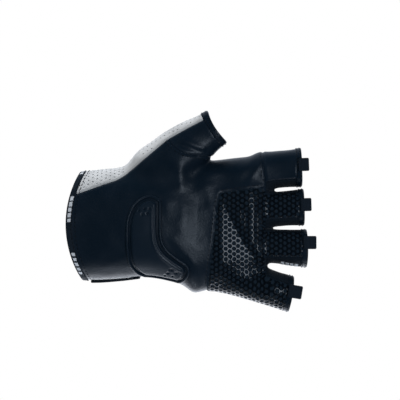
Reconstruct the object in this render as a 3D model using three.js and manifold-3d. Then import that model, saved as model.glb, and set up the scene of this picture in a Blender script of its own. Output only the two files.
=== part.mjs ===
// Short-finger motorcycle glove for the left hand, in millimetres.
// +X runs along the fingers, +Z to the thumb side, and the palm faces -Y. The origin is the
// middle of the wrist opening. Every wall is hollow: the hand goes in from -X.
import * as THREE from "three";
import { mergeVertices } from "three/addons/utils/BufferGeometryUtils.js";
import Module from "manifold-3d";

const wasm = await Module();
wasm.setup();

// Driving dimensions
const WALL = 1.8; // leather or fabric with its lining
const GAP = 0.3; // left between neighbouring pieces
const OUTSIDE = { handSides: 40, handStep: 6.5, stallSides: 20, stallStep: 7 };
const INSIDE = { handSides: 24, handStep: 16, stallSides: 14, stallStep: 13 };
const SQUARENESS = 2.4; // 2 is an ellipse, more is a rounder box
const BINDING_WIDTH = 4.5; // elastic tape round the wrist opening
const BINDING_PROUD = 0.5;
const HEM_WIDTH = 4.2; // turned edge at the end of each stall
const HEM_PROUD = 0.35;
const PAD_HEIGHT = 2.4; // moulded rubber on the heel of the palm
const PAD_RIM_WIDTH = 2.4;
const PAD_GROOVE = 0.7; // between the rim and the middle of the pad
const STRAP_THICKNESS = 2.2;
const STRAP_START = 10;
const STRAP_END = 44;
const STRAP_INNER_END = 16; // where it is sewn down on the back
const TAB = { wide: 8.8, thick: 1.4, sewn: 2.4, corner: 1.6 };
const TAB_LONG = { index: 4.5, middle: 4.5, ring: 6, little: 6.9 };
const TAB_SHIFT = { index: 1.7, middle: 1.7, ring: 4.3, little: 2.6 }; // towards the thumb side
const FRONT = -60; // beyond the palm side of everything
const BACK = 60;

// The seam between palm and back runs along the side of the hand at this depth.
const SIDE_SEAM = 3;
const THUMB_SEAM_DEPTH = -3;
const FINGER_BACK_DEPTH = 3.5;

function table(names, rows) {
  return rows.map((row) => Object.fromEntries(names.map((name, i) => [name, row[i]])));
}

// Sections through the hand: the thumb-side and little-finger-side edges, the depth of the
// palm side and of the back, how far the middle of the section bows towards the wrist, and
// its tilt in degrees.
const HAND = table(
  ["x", "top", "low", "palm", "back", "bow", "tilt"],
  [
    [3.9, 36.5, -36.3, 24, 23.5, 9.2, 1.2],
    [16, 38.0, -36.4, 23.5, 22.5, 9, 1.2],
    [32, 39.6, -35.4, 24, 21, 7, 0.8],
    [48, 41.0, -34.1, 24.5, 19.5, 4, 0.3],
    [62, 42.0, -36.3, 23.5, 18, 2, 0],
    [72, 43.0, -39.5, 22, 17.2, 0, 0],
    [80, 43.6, -44.8, 20.5, 16.8, 0, 0],
    [88, 44.0, -43.7, 19.2, 16.4, 0, -1],
    [100, 45.2, -44.6, 18, 16, 0, -2],
    [112, 46.8, -47.6, 17, 16.2, 0, -3],
    [122, 48.4, -49.8, 15.6, 14.6, 0, -4],
    [129, 49.4, -49.6, 12.6, 12.2, 0, -5],
    [132, 47.0, -47.0, 7.5, 7.5, 0, -5],
  ],
);

// Sections through each stall, from inside the hand to the edge of its hem: the middle, half
// the width, the depth of the palm side and of the back, the tilt of the section and its bow.
const STALL_COLUMNS = ["x", "z", "y", "half", "palm", "back", "tilt", "bow"];
const STALLS = {
  thumb: table(STALL_COLUMNS, [
    [40.5, 28.8, -1, 12.2, 16, 11, 35, 0],
    [49.0, 34.8, -2, 16.6, 18.5, 13.5, 35, 0],
    [62.0, 43.9, -4, 16.9, 17.5, 13.5, 35, 0],
    [74.8, 52.9, -6, 16.6, 14.5, 13, 35, 0],
    [82.2, 58.1, -7, 15.2, 12.6, 12, 34.5, 0.4],
    [89.4, 63.1, -8, 13.4, 11.2, 11.2, 33.5, 1.2],
    [95.9, 67.2, -8.6, 12.5, 10.8, 10.8, 31.5, 2],
  ]),
  index: table(STALL_COLUMNS, [
    [112, 33.4, -0.5, 8.8, 11, 10.8, 0, 0],
    [124, 37.4, -0.8, 12.6, 12.6, 12.4, 0, 0],
    [132, 38.0, -1.2, 12.4, 12.2, 12, 1, 0],
    [144, 39.0, -2.2, 12.5, 11.7, 11.5, 1, 0],
    [153, 39.8, -3.4, 12.8, 11.5, 11.3, 2, 0],
  ]),
  middle: table(STALL_COLUMNS, [
    [114, 11.0, -0.6, 9.4, 11.4, 11, 0, 0],
    [126, 11.2, -1, 11.8, 12.6, 12.4, 0, 0],
    [134, 11.3, -1.4, 11.6, 12.2, 12, 0, 0],
    [145, 12.2, -2.4, 11.7, 11.8, 11.5, 1, 0],
    [154.6, 12.9, -3.6, 12, 11.6, 11.3, 1.5, 0],
  ]),
  ring: table(STALL_COLUMNS, [
    [112, -13.4, -0.6, 9.6, 11.2, 10.8, 0, 0],
    [124, -13.2, -1, 11.6, 12.4, 12.2, 0, 0],
    [134, -13.7, -1.6, 11.3, 12, 11.8, 0, 0],
    [146, -14.6, -2.8, 12.1, 11.7, 11.4, 0, 0],
    [156.4, -15.1, -4.2, 12.5, 11.5, 11.2, 0, -0.6],
  ]),
  little: table(STALL_COLUMNS, [
    [104, -32.6, -0.4, 7.4, 10.4, 10.2, -18, 0],
    [115, -36.6, -0.8, 11.6, 11.6, 11.4, -18, 0],
    [124.5, -39.2, -1.6, 12, 11.2, 11, -17.5, 0],
    [135, -42.6, -3, 11.7, 10.8, 10.6, -15, 0],
    [146, -46.1, -4.8, 11.8, 10.5, 10.4, -9.5, -0.6],
  ]),
};

// Raised folds and, where the rise is negative, pressed creases of the palm leather: the ends
// of each line, its rise and its half width.
const FOLDS = table(
  ["x0", "z0", "x1", "z1", "rise", "width"],
  [
    [76, 9, 80, -24, 1.5, 4.5],
    [69, 12, 70, -10, -0.7, 3],
    [86, 18, 88, -20, -0.7, 3],
    [64, 34, 84, 30, 1.2, 6],
    [72, -18, 84, -30, -0.8, 3.5],
    [36, 30, 62, 16, 1.0, 7],
  ],
);

// Seams as seen from the palm side, each from the wrist or palm towards the fingertips.
const RADIAL_SEAM = [[-14, 16], [2, 21.8], [19, 28.1], [30.6, 32.6], [44.6, 43.5], [61.9, 58.2]];
const THUMB_BACK_SEAM = [[61.9, 58.2], [75.9, 66], [87.6, 72.1], [102, 79]];
const THUMB_SEAM = [[61.9, 58.2], [67.2, 53], [74.1, 48.9], [84.5, 47], [91, 46.6]];
const CUFF_LOW_SEAM = [[52.6, -35.8], [49, -35], [36.7, -34.6], [20.4, -35.2], [-14, -35.4]];
const GRIP_SEAM = [[88.4, -45], [89.4, -39.9], [91.2, -23.5], [93.5, -6.3], [95.7, 13.8], [98.1, 22.4]];
const GRIP_TOP_SEAM = [[98.1, 22.4], [109.9, 24.3], [129, 26.4]];
const INDEX_SEAM = [[129, 30], [127.4, 37], [126.8, 51]];
const CROTCH = [98, 47.6]; // between the thumb stall and the edge of the palm
const ABOVE = 84;
const BELOW = -74;
const BEYOND = 172;
const WEB_START = 129;

// Outline of the rubber pad, from its wrist side round by the little finger.
const PAD_OUTLINE = [
  [34.8, 0], [35.6, -20.7], [39.7, -29.4], [46, -32.8], [58, -35.4], [68.3, -37.2], [74.2, -36],
  [77.5, -30.1], [75.4, -24.8], [68.3, -19.7], [61.6, -13.5], [58.7, -5], [58.5, 15.2],
  [56.4, 18.4], [50.1, 20.6], [42.4, 17.2], [37.6, 11],
];
const PAD_POINTS = 38;

const finish = (color, roughness, metalness = 0) => ({ color, roughness, metalness });
const BLACK_LEATHER = finish("#1a232d", 0.5);
const LIGHT_LEATHER = finish("#b9bdbe", 0.6);
const GRIP_FABRIC = finish("#171c22", 0.7);
const KNIT = finish("#1e2329", 0.85);
const SIDE_KNIT = finish("#4b5158", 0.85);
const RUBBER = finish("#1d2731", 0.6);
const WEBBING = finish("#181c21", 0.8);

// Reads a table between its rows, so that the walls are smooth, and runs straight on past them.
function between(rows) {
  const names = Object.keys(rows[0]);
  const values = rows.flatMap((row) => names.map((name) => row[name]));
  const places = rows.map((row) => row.x);
  const curve = new THREE.CubicInterpolant(
    new Float32Array(places),
    new Float32Array(values),
    names.length,
    new Float32Array(names.length),
  );
  return (x) => {
    const inside = THREE.MathUtils.clamp(x, places[0], places[places.length - 1]);
    const found = [...curve.evaluate(inside)];
    const section = Object.fromEntries(names.map((name, i) => [name, found[i]]));
    const rise = Math.tan(THREE.MathUtils.degToRad(section.tilt)) * (x - inside);
    section.x = x;
    for (const name of ["z", "top", "low"]) {
      if (name in section) section[name] += rise;
    }
    return section;
  };
}

function stationsBetween(start, end, step) {
  const count = Math.max(1, Math.round((end - start) / step));
  return Array.from({ length: count + 1 }, (_, i) => start + ((end - start) * i) / count);
}

function handSection(row) {
  return { ...row, y: 0, z: (row.top + row.low) / 2, half: (row.top - row.low) / 2 };
}

const handAt = between(HAND);
const stallAt = Object.fromEntries(
  Object.entries(STALLS).map(([name, rows]) => [name, between(rows)]),
);

// How far the folds lift the palm leather at one place.
function foldRise(x, z) {
  let rise = 0;
  for (const fold of FOLDS) {
    const alongX = fold.x1 - fold.x0;
    const alongZ = fold.z1 - fold.z0;
    const share = ((x - fold.x0) * alongX + (z - fold.z0) * alongZ) / (alongX ** 2 + alongZ ** 2);
    const t = THREE.MathUtils.clamp(share, 0, 1);
    const distance = Math.hypot(x - fold.x0 - t * alongX, z - fold.z0 - t * alongZ);
    rise += fold.rise * Math.exp(-((distance / fold.width) ** 2));
  }
  return rise;
}

// One ring of points round a section, grown by an offset.
function ring(section, sides, offset, folded) {
  const tilt = THREE.MathUtils.degToRad(section.tilt);
  const points = [];
  for (let i = 0; i < sides; i++) {
    const angle = (i / sides) * 2 * Math.PI;
    const across = Math.sign(Math.cos(angle)) * Math.abs(Math.cos(angle)) ** (2 / SQUARENESS);
    const deep = Math.sign(Math.sin(angle)) * Math.abs(Math.sin(angle)) ** (2 / SQUARENESS);
    const width = across * (section.half + offset);
    const depth = deep * ((deep < 0 ? section.palm : section.back) + offset);
    const bow = (section.bow ?? 0) * (1 - across ** 2);
    const x = section.x - Math.sin(tilt) * width - bow;
    const z = section.z + Math.cos(tilt) * width;
    const rise = folded && deep < 0 ? foldRise(x, z) * Math.abs(deep) : 0;
    points.push([x, section.y + depth - rise, z]);
  }
  return points;
}

// A closed solid through a row of rings with the same number of points.
function loft(rings) {
  const sides = rings[0].length;
  const last = rings.length - 1;
  const middle = (points) =>
    [0, 1, 2].map((k) => points.reduce((sum, p) => sum + p[k], 0) / points.length);
  const points = [...rings.flat(), middle(rings[0]), middle(rings[last])];
  const firstMiddle = sides * rings.length;
  const index = [];
  for (let i = 0; i < sides; i++) {
    const j = (i + 1) % sides;
    for (let k = 0; k < last; k++) {
      const a = k * sides + i;
      const b = k * sides + j;
      index.push(a, b + sides, b, a, a + sides, b + sides);
    }
    index.push(firstMiddle, i, j);
    index.push(firstMiddle + 1, last * sides + j, last * sides + i);
  }
  const geometry = new THREE.BufferGeometry();
  geometry.setAttribute("position", new THREE.Float32BufferAttribute(points.flat(), 3));
  geometry.setIndex(index);
  return geometry;
}

function toSolid(geometry) {
  const bare = geometry.clone();
  for (const name of Object.keys(bare.attributes)) {
    if (name !== "position") bare.deleteAttribute(name);
  }
  const merged = mergeVertices(bare, 1e-4);
  return new wasm.Manifold(
    new wasm.Mesh({
      numProp: 3,
      vertProperties: new Float32Array(merged.attributes.position.array),
      triVerts: new Uint32Array(merged.index.array),
    }),
  );
}

function toGeometry(solid) {
  const mesh = solid.getMesh();
  const geometry = new THREE.BufferGeometry();
  geometry.setAttribute("position", new THREE.BufferAttribute(mesh.vertProperties, 3));
  geometry.setIndex(new THREE.BufferAttribute(mesh.triVerts, 1));
  geometry.computeVertexNormals();
  return geometry;
}

function handSolid(start, end, offset, fine = OUTSIDE, folded = false) {
  const stations = stationsBetween(start, end, fine.handStep);
  const rings = stations.map((x) => ring(handSection(handAt(x)), fine.handSides, offset, folded));
  return toSolid(loft(rings));
}

function stallSolid(name, start, end, offset, fine = OUTSIDE) {
  const stations = stationsBetween(start, end, fine.stallStep);
  const folded = fine === OUTSIDE;
  const rings = stations.map((x) => ring(stallAt[name](x), fine.stallSides, offset, folded));
  return toSolid(loft(rings));
}

const firstOf = (rows) => rows[0].x;
const lastOf = (rows) => rows[rows.length - 1].x;
const WRIST_EDGE = firstOf(HAND) + BINDING_WIDTH + GAP;

// The outside of the hand without its stalls, grown by an offset
function handBody(offset) {
  return handSolid(WRIST_EDGE, lastOf(HAND), offset, OUTSIDE, true);
}

// A closed outline moved out by a distance, or in where it is negative.
function grown(outline, distance) {
  const area = THREE.ShapeUtils.area(outline.map(([x, y]) => new THREE.Vector2(x, y)));
  const side = Math.sign(area) * distance;
  const count = outline.length;
  return outline.map((here, i) => {
    const before = outline[(i + count - 1) % count];
    const after = outline[(i + 1) % count];
    const into = new THREE.Vector2(here[0] - before[0], here[1] - before[1]).normalize();
    const away = new THREE.Vector2(after[0] - here[0], after[1] - here[1]).normalize();
    const normal = new THREE.Vector2(into.y + away.y, -into.x - away.x).normalize();
    const reach = side / Math.max(0.35, normal.x * into.y - normal.y * into.x);
    return [here[0] + normal.x * reach, here[1] + normal.y * reach];
  });
}

// A prism on an outline seen from the palm side, from one depth to another.
function prism(outline, from, to) {
  const shape = new THREE.Shape(outline.map(([x, z]) => new THREE.Vector2(x, z)));
  const geometry = new THREE.ExtrudeGeometry(shape, { depth: to - from, bevelEnabled: false });
  geometry.rotateX(Math.PI / 2);
  geometry.translate(0, to, 0);
  return toSolid(geometry);
}

function smooth(points, steps = 2) {
  const curve = new THREE.SplineCurve(points.map(([x, z]) => new THREE.Vector2(x, z)));
  return curve.getPoints((points.length - 1) * steps).map((p) => [p.x, p.y]);
}

const radialSeam = smooth(RADIAL_SEAM);
const thumbBackSeam = smooth(THUMB_BACK_SEAM);
const thumbSeam = smooth(THUMB_SEAM);
const cuffLowSeam = smooth(CUFF_LOW_SEAM);
const gripSeam = smooth(GRIP_SEAM);
const gripTopSeam = smooth(GRIP_TOP_SEAM);
const indexSeam = smooth(INDEX_SEAM);
const tail = (points) => points.slice(1);
const inner = (points) => points.slice(1, -1);
const backwards = (points) => [...points].reverse();

// The lines between the fingers, where the side strips meet the palm sides of the stalls.
const STRIP_LINES = {
  indexLow: [[WEB_START, 30], [BEYOND, 33]],
  middleTop: [[WEB_START, 18], [BEYOND, 20.8]],
  middleLow: [[WEB_START, 4.6], [BEYOND, 7]],
  ringTop: [[WEB_START, -7], [BEYOND, -7.6]],
  ringLow: [[WEB_START, -22.2], [BEYOND, -23]],
  littleTop: [[WEB_START, -33], [BEYOND, -50.6]],
};
const { indexLow, middleTop, middleLow, ringTop, ringLow, littleTop } = STRIP_LINES;

// Every panel of the palm side: its outline and the depth where the back takes over.
const PANELS = {
  palm_leather: {
    outline: [
      ...radialSeam,
      ...tail(thumbSeam),
      CROTCH,
      ...backwards(indexSeam),
      ...backwards(gripTopSeam),
      ...tail(backwards(gripSeam)),
      [88, BELOW],
      [54, BELOW],
      ...cuffLowSeam,
    ],
    depth: SIDE_SEAM,
    finish: BLACK_LEATHER,
  },
  thumb_leather: {
    outline: [...thumbBackSeam, [120, 79], [120, 50.2], CROTCH, ...inner(backwards(thumbSeam))],
    depth: THUMB_SEAM_DEPTH,
    finish: BLACK_LEATHER,
  },
  index_leather: {
    outline: [...indexSeam, [126.8, ABOVE], [BEYOND, ABOVE], indexLow[1]],
    depth: FINGER_BACK_DEPTH,
    finish: BLACK_LEATHER,
  },
  grip_fabric: {
    outline: [
      ...gripSeam,
      ...tail(gripTopSeam),
      ...middleTop,
      ...backwards(middleLow),
      ...ringTop,
      ...backwards(ringLow),
      ...littleTop,
      [BEYOND, BELOW],
      [88, BELOW],
    ],
    depth: FINGER_BACK_DEPTH,
    finish: GRIP_FABRIC,
  },
  index_middle_side: {
    outline: [...indexLow, ...backwards(middleTop)],
    depth: FINGER_BACK_DEPTH,
    finish: SIDE_KNIT,
  },
  middle_ring_side: {
    outline: [...middleLow, ...backwards(ringTop)],
    depth: FINGER_BACK_DEPTH,
    finish: SIDE_KNIT,
  },
  ring_little_side: {
    outline: [...ringLow, ...backwards(littleTop)],
    depth: FINGER_BACK_DEPTH,
    finish: SIDE_KNIT,
  },
};

// The backs of the fingers, split from the back of the hand at the knuckles.
const KNUCKLE = 121;
const FINGER_BACKS = {
  index_back: [[KNUCKLE + 2, ABOVE], [KNUCKLE + 2, 26], [BEYOND, 26], [BEYOND, ABOVE]],
  middle_back: [[KNUCKLE + 2, 26], [KNUCKLE + 2, -1], [BEYOND, 0], [BEYOND, 26]],
  ring_back: [[KNUCKLE + 2, -1], [KNUCKLE, -26.5], [BEYOND, -32], [BEYOND, 0]],
  little_back: [[KNUCKLE, -26.5], [KNUCKLE - 9, BELOW], [BEYOND, BELOW], [BEYOND, -32]],
};

// The hollow shell of the whole glove, without its bindings and hems
function gloveShell() {
  let outside = handBody(0);
  let inside = handSolid(firstOf(HAND) - 1, lastOf(HAND) - WALL, -WALL, INSIDE);
  for (const [name, rows] of Object.entries(STALLS)) {
    const hemStart = lastOf(rows) - HEM_WIDTH - GAP;
    outside = outside.add(stallSolid(name, firstOf(rows), hemStart, 0));
    inside = inside.add(stallSolid(name, firstOf(rows) + WALL, lastOf(rows) + 1, -WALL, INSIDE));
  }
  return outside.subtract(inside);
}

function panel(shell, { outline, depth }) {
  return shell.intersect(prism(grown(outline, -GAP / 2), FRONT, depth - GAP / 2));
}

// What the palm-side panels leave: the back of the hand, thumb and wrist
function backOf(shell) {
  let rest = shell;
  for (const { outline, depth } of Object.values(PANELS)) {
    rest = rest.subtract(prism(grown(outline, GAP / 2), FRONT, depth + GAP / 2));
  }
  return rest;
}

function cuffBinding() {
  const end = firstOf(HAND) + BINDING_WIDTH;
  const outside = handSolid(firstOf(HAND), end, BINDING_PROUD);
  return outside.subtract(handSolid(firstOf(HAND) - 1, end + 1, -WALL - BINDING_PROUD, INSIDE));
}

function hem(name) {
  const end = lastOf(STALLS[name]);
  const outside = stallSolid(name, end - HEM_WIDTH, end, HEM_PROUD);
  const offset = -WALL - HEM_PROUD;
  return outside.subtract(stallSolid(name, end - HEM_WIDTH - 1, end + 1, offset, INSIDE));
}

// A layer of even thickness on the palm or back of the hand
function layer(thickness) {
  return handBody(GAP + thickness).subtract(handBody(GAP));
}

function padPieces() {
  const curve = new THREE.CatmullRomCurve3(
    PAD_OUTLINE.map(([x, z]) => new THREE.Vector3(x, 0, z)),
    true,
  );
  const outline = curve.getPoints(PAD_POINTS).slice(0, -1).map((p) => [p.x, p.z]);
  const block = layer(PAD_HEIGHT);
  const middle = grown(outline, -PAD_RIM_WIDTH - PAD_GROOVE);
  const whole = block.intersect(prism(outline, FRONT, 0));
  const rim = whole.subtract(prism(grown(outline, -PAD_RIM_WIDTH), FRONT - 1, 1));
  return { pad_rim: rim, palm_pad: whole.intersect(prism(middle, FRONT, 0)) };
}

function wristStrap() {
  const band = layer(STRAP_THICKNESS);
  const cut = [[STRAP_START, -60], [STRAP_END, -60], [STRAP_END, STRAP_INNER_END]];
  return band.intersect(prism([...cut, [STRAP_START, STRAP_INNER_END]], -1.5, BACK));
}

// A folded loop of tape that stands out of a hem on the palm side
function pullTab(name) {
  const end = stallAt[name](lastOf(STALLS[name]));
  const shape = new THREE.Shape();
  const half = TAB.wide / 2;
  const { corner } = TAB;
  const long = TAB_LONG[name];
  shape.moveTo(-TAB.sewn, -half);
  shape.lineTo(long - corner, -half);
  shape.absarc(long - corner, -half + corner, corner, -Math.PI / 2, 0);
  shape.absarc(long - corner, half - corner, corner, 0, Math.PI / 2);
  shape.lineTo(-TAB.sewn, half);
  const geometry = new THREE.ExtrudeGeometry(shape, {
    depth: TAB.thick,
    bevelEnabled: false,
    curveSegments: 4,
  });
  geometry.rotateX(Math.PI / 2);
  geometry.rotateY(-THREE.MathUtils.degToRad(end.tilt));
  geometry.translate(end.x, end.y - end.palm - HEM_PROUD - GAP, end.z + TAB_SHIFT[name]);
  return geometry;
}

function mesh(name, geometry, look) {
  const made = new THREE.Mesh(geometry, new THREE.MeshStandardMaterial(look));
  made.name = name;
  return made;
}

const glove = new THREE.Group();
glove.name = "short_finger_glove";

const shell = gloveShell();
for (const [name, item] of Object.entries(PANELS)) {
  glove.add(mesh(name, toGeometry(panel(shell, item)), item.finish));
}

let handBack = backOf(shell);
for (const [name, outline] of Object.entries(FINGER_BACKS)) {
  const piece = handBack.intersect(prism(grown(outline, -GAP / 2), FRONT, BACK));
  glove.add(mesh(name, toGeometry(piece), KNIT));
}
for (const outline of Object.values(FINGER_BACKS)) {
  handBack = handBack.subtract(prism(grown(outline, GAP / 2), FRONT, BACK));
}
glove.add(mesh("back_leather", toGeometry(handBack), LIGHT_LEATHER));

glove.add(mesh("cuff_binding", toGeometry(cuffBinding()), WEBBING));
for (const name of Object.keys(STALLS)) {
  glove.add(mesh(`${name}_hem`, toGeometry(hem(name)), BLACK_LEATHER));
}
for (const [name, solid] of Object.entries(padPieces())) {
  glove.add(mesh(name, toGeometry(solid), RUBBER));
}
glove.add(mesh("wrist_strap", toGeometry(wristStrap()), WEBBING));
for (const name of Object.keys(TAB_SHIFT)) {
  glove.add(mesh(`${name}_tab`, pullTab(name), WEBBING));
}

export default glove;
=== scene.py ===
"""Short-finger riding glove for the left hand: its leather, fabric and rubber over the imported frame."""

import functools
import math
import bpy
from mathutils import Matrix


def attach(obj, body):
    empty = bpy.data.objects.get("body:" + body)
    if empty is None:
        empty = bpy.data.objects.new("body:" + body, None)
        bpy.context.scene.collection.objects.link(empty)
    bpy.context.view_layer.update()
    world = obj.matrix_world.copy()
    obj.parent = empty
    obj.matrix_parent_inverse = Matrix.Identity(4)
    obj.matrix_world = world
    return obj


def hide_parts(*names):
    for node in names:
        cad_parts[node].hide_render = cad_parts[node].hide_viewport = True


bl_info = {
    "name": "Short-finger riding glove",
    "version": (1, 0, 0),
    "blender": (4, 5, 0),
    "location": "View3D > Sidebar > Glove",
    "description": "Builds the leather, fabric and rubber surfaces of a short-finger riding glove",
    "category": "Add Mesh",
}

import bpy
import numpy as np
from bpy.props import FloatProperty, FloatVectorProperty, PointerProperty
from mathutils import Vector
from mathutils.bvhtree import BVHTree
from mathutils.geometry import delaunay_2d_cdt
from mathutils.kdtree import KDTree

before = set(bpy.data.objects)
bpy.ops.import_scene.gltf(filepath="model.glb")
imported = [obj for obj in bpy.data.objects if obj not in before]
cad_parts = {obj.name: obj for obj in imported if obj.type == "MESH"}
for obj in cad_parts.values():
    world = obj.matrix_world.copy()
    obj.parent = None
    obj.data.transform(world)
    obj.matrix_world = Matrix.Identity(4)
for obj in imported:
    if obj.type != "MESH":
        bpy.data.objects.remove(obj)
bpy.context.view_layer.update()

MM = 0.001  # the tables below are in millimetres, and Blender's unit is the metre


def linear(code):
    """The linear RGBA colour of an sRGB hex value."""
    parts = [int(code[i:i + 2], 16) / 255 for i in (1, 3, 5)]
    curve = [p / 12.92 if p <= 0.04045 else ((p + 0.055) / 1.055) ** 2.4 for p in parts]
    return (*curve, 1.0)


def table(names, rows):
    """One array for each named column."""
    return dict(zip(names.split(), np.array(rows, float).T))


# Sections through the hand, as in the frame: the thumb-side and little-finger-side edges, the
# depth of the palm side and of the back, how far the middle bows towards the wrist, and the tilt.
HAND_ROWS = table(
    "x top low palm back bow tilt",
    [
        [3.9, 36.5, -36.3, 24, 23.5, 9.2, 1.2],
        [16, 38.0, -36.4, 23.5, 22.5, 9, 1.2],
        [32, 39.6, -35.4, 24, 21, 7, 0.8],
        [48, 41.0, -34.1, 24.5, 19.5, 4, 0.3],
        [62, 42.0, -36.3, 23.5, 18, 2, 0],
        [72, 43.0, -39.5, 22, 17.2, 0, 0],
        [80, 43.6, -44.8, 20.5, 16.8, 0, 0],
        [88, 44.0, -43.7, 19.2, 16.4, 0, -1],
        [100, 45.2, -44.6, 18, 16, 0, -2],
        [112, 46.8, -47.6, 17, 16.2, 0, -3],
        [122, 48.4, -49.8, 15.6, 14.6, 0, -4],
        [129, 49.4, -49.6, 12.6, 12.2, 0, -5],
        [132, 47.0, -47.0, 7.5, 7.5, 0, -5],
    ],
)
HAND_ROWS["z"] = (HAND_ROWS["top"] + HAND_ROWS["low"]) / 2
HAND_ROWS["half"] = (HAND_ROWS["top"] - HAND_ROWS["low"]) / 2
HAND_ROWS["y"] = np.zeros_like(HAND_ROWS["x"])

STALL_COLUMNS = "x z y half palm back tilt bow"
STALL_ROWS = {
    "thumb": table(STALL_COLUMNS, [
        [40.5, 28.8, -1, 12.2, 16, 11, 35, 0],
        [49.0, 34.8, -2, 16.6, 18.5, 13.5, 35, 0],
        [62.0, 43.9, -4, 16.9, 17.5, 13.5, 35, 0],
        [74.8, 52.9, -6, 16.6, 14.5, 13, 35, 0],
        [82.2, 58.1, -7, 15.2, 12.6, 12, 34.5, 0.4],
        [89.4, 63.1, -8, 13.4, 11.2, 11.2, 33.5, 1.2],
        [95.9, 67.2, -8.6, 12.5, 10.8, 10.8, 31.5, 2],
    ]),
    "index": table(STALL_COLUMNS, [
        [112, 33.4, -0.5, 8.8, 11, 10.8, 0, 0],
        [124, 37.4, -0.8, 12.6, 12.6, 12.4, 0, 0],
        [132, 38.0, -1.2, 12.4, 12.2, 12, 1, 0],
        [144, 39.0, -2.2, 12.5, 11.7, 11.5, 1, 0],
        [153, 39.8, -3.4, 12.8, 11.5, 11.3, 2, 0],
    ]),
    "middle": table(STALL_COLUMNS, [
        [114, 11.0, -0.6, 9.4, 11.4, 11, 0, 0],
        [126, 11.2, -1, 11.8, 12.6, 12.4, 0, 0],
        [134, 11.3, -1.4, 11.6, 12.2, 12, 0, 0],
        [145, 12.2, -2.4, 11.7, 11.8, 11.5, 1, 0],
        [154.6, 12.9, -3.6, 12, 11.6, 11.3, 1.5, 0],
    ]),
    "ring": table(STALL_COLUMNS, [
        [112, -13.4, -0.6, 9.6, 11.2, 10.8, 0, 0],
        [124, -13.2, -1, 11.6, 12.4, 12.2, 0, 0],
        [134, -13.7, -1.6, 11.3, 12, 11.8, 0, 0],
        [146, -14.6, -2.8, 12.1, 11.7, 11.4, 0, 0],
        [156.4, -15.1, -4.2, 12.5, 11.5, 11.2, 0, -0.6],
    ]),
    "little": table(STALL_COLUMNS, [
        [104, -32.6, -0.4, 7.4, 10.4, 10.2, -18, 0],
        [115, -36.6, -0.8, 11.6, 11.6, 11.4, -18, 0],
        [124.5, -39.2, -1.6, 12, 11.2, 11, -17.5, 0],
        [135, -42.6, -3, 11.7, 10.8, 10.6, -15, 0],
        [146, -46.1, -4.8, 11.8, 10.5, 10.4, -9.5, -0.6],
    ]),
}
SQUARENESS = 2.4

# Raised folds and, where the rise is negative, pressed creases: the ends of each line as seen
# from the palm side, its rise and its half width.
FOLDS = table(
    "x0 z0 x1 z1 rise width",
    [
        [36, 30, 62, 16, 0.4, 7],
        [67, -9, 79, -25, 0.4, 3.2],
        [71, 33, 73, 40, 2.0, 9],
        [71.5, 28, 71.5, 36, 0.65, 3.5],
        [87, 34, 88, 28, 1.1, 6],
        [94, 39, 112, 40, 2.4, 7.5],
        [110, 31, 112, 27, 0.5, 5],
        [90, 22, 91, 14, 0.2, 2.6],
        [74, 57.5, 86, 51.5, 0.6, 2.4],
        [70, 54.5, 88, 49.5, -0.4, 1.5],
        [125, 44, 116.5, 27, 0.6, 2.6],
        [110, -38, 118, -38, 1.15, 7],
        [100, -23, 100, -17, 0.2, 4],
        [119.2, 11, 119.2, -10, 0.45, 3],
        [116, 20, 116, 16, 1.0, 7],
        [127, 22, 127, 16, -0.35, 3],
        [129.2, 15, 129.2, 7, -0.3, 2.5],
        [128.6, -9, 128.6, -18, -0.3, 2.5],
        [124.5, -22, 126, -27, 1.2, 4.5],
        [130.6, -36, 133.2, -44, 2.2, 5.5],
    ],
)
# The long flat of the palm that turns a little to the fingers: by distance towards the fingers
# from the fold at its end, what it adds to the slope of the palm
FLAT_END = [(82.3, 5), (84.5, 22)]
FLAT_SLOPES = table(
    "away slope",
    [
        [-18, 0], [-12, 0.06], [-10, 0], [-6.5, -0.1],
        [-0.9, -0.1], [0.3, 0.035], [9, 0.035], [12.5, 0],
    ],
)
# Where it ends towards the thumb and towards the little finger, and the widths over which it fades
FLAT_ENDS, FLAT_FADES = (23, -16), (9, 10)
# The hollow of the palm, under the grip panel: a long even slope that falls from a crest beside
# the seam to a valley that crosses the panel, and the width in which the leather levels out again
HOLLOW_CREST = 98.8
HOLLOW_VALLEY = [(100.8, 14), (103.3, 8), (110, -6), (121.5, -22), (124.5, -30)]
HOLLOW_SLOPE, HOLLOW_RISE, HOLLOW_FALL = 0.145, 9.0, 6.0
HOLLOW_ENDS, HOLLOW_FADES = (17, -40), (6, 12)
CREST_SHARE = 0.35  # of the whole fall, how much of it stands above the leather at the crest

# Softening of the skin: the share of the way to its neighbours' middle that a point moves in a
# round, the rounds for the whole skin, for the places where two tubes meet and for the base of the
# thumb, and the reach of the last two
SOFTENING = 0.5
SKIN_ROUNDS, JUNCTION_ROUNDS, THUMB_ROUNDS = 12, 40, 160
JUNCTION_REACH, THUMB_REACH = 3.0, 9.0
# The base of the thumb ends at this X and starts at this Z, and fades over the same width at both
THUMB_BASE_X, THUMB_BASE_Z, THUMB_BASE_FADE = 90, 15, 10
HAND_OVERRUN, STALL_OVERRUN = 9, 8  # how far the tubes run on past their mouths, to be cut there
FOLD_DEPTH = 7  # depth towards the palm at which a fold has its whole rise
FOLDS_FROM_PAD, FOLDS_FADE = -1, 5  # the folds start this far from the pad's edge, and grow over this
SKIN_BUMPS = [(0.15, 11, 3), (0.035, 4.5, 4)]  # height, size and seed of its unevenness
TUBE_BEFORE, TUBE_AFTER = 3, 12  # how far past its ends a tube still counts where tubes meet
FAR = 99  # stands for a distance that is of no interest
IN_FRONT = -80  # a depth well in front of the palm
INSIDE = -9.0  # a field's value well inside the part that is kept

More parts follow.
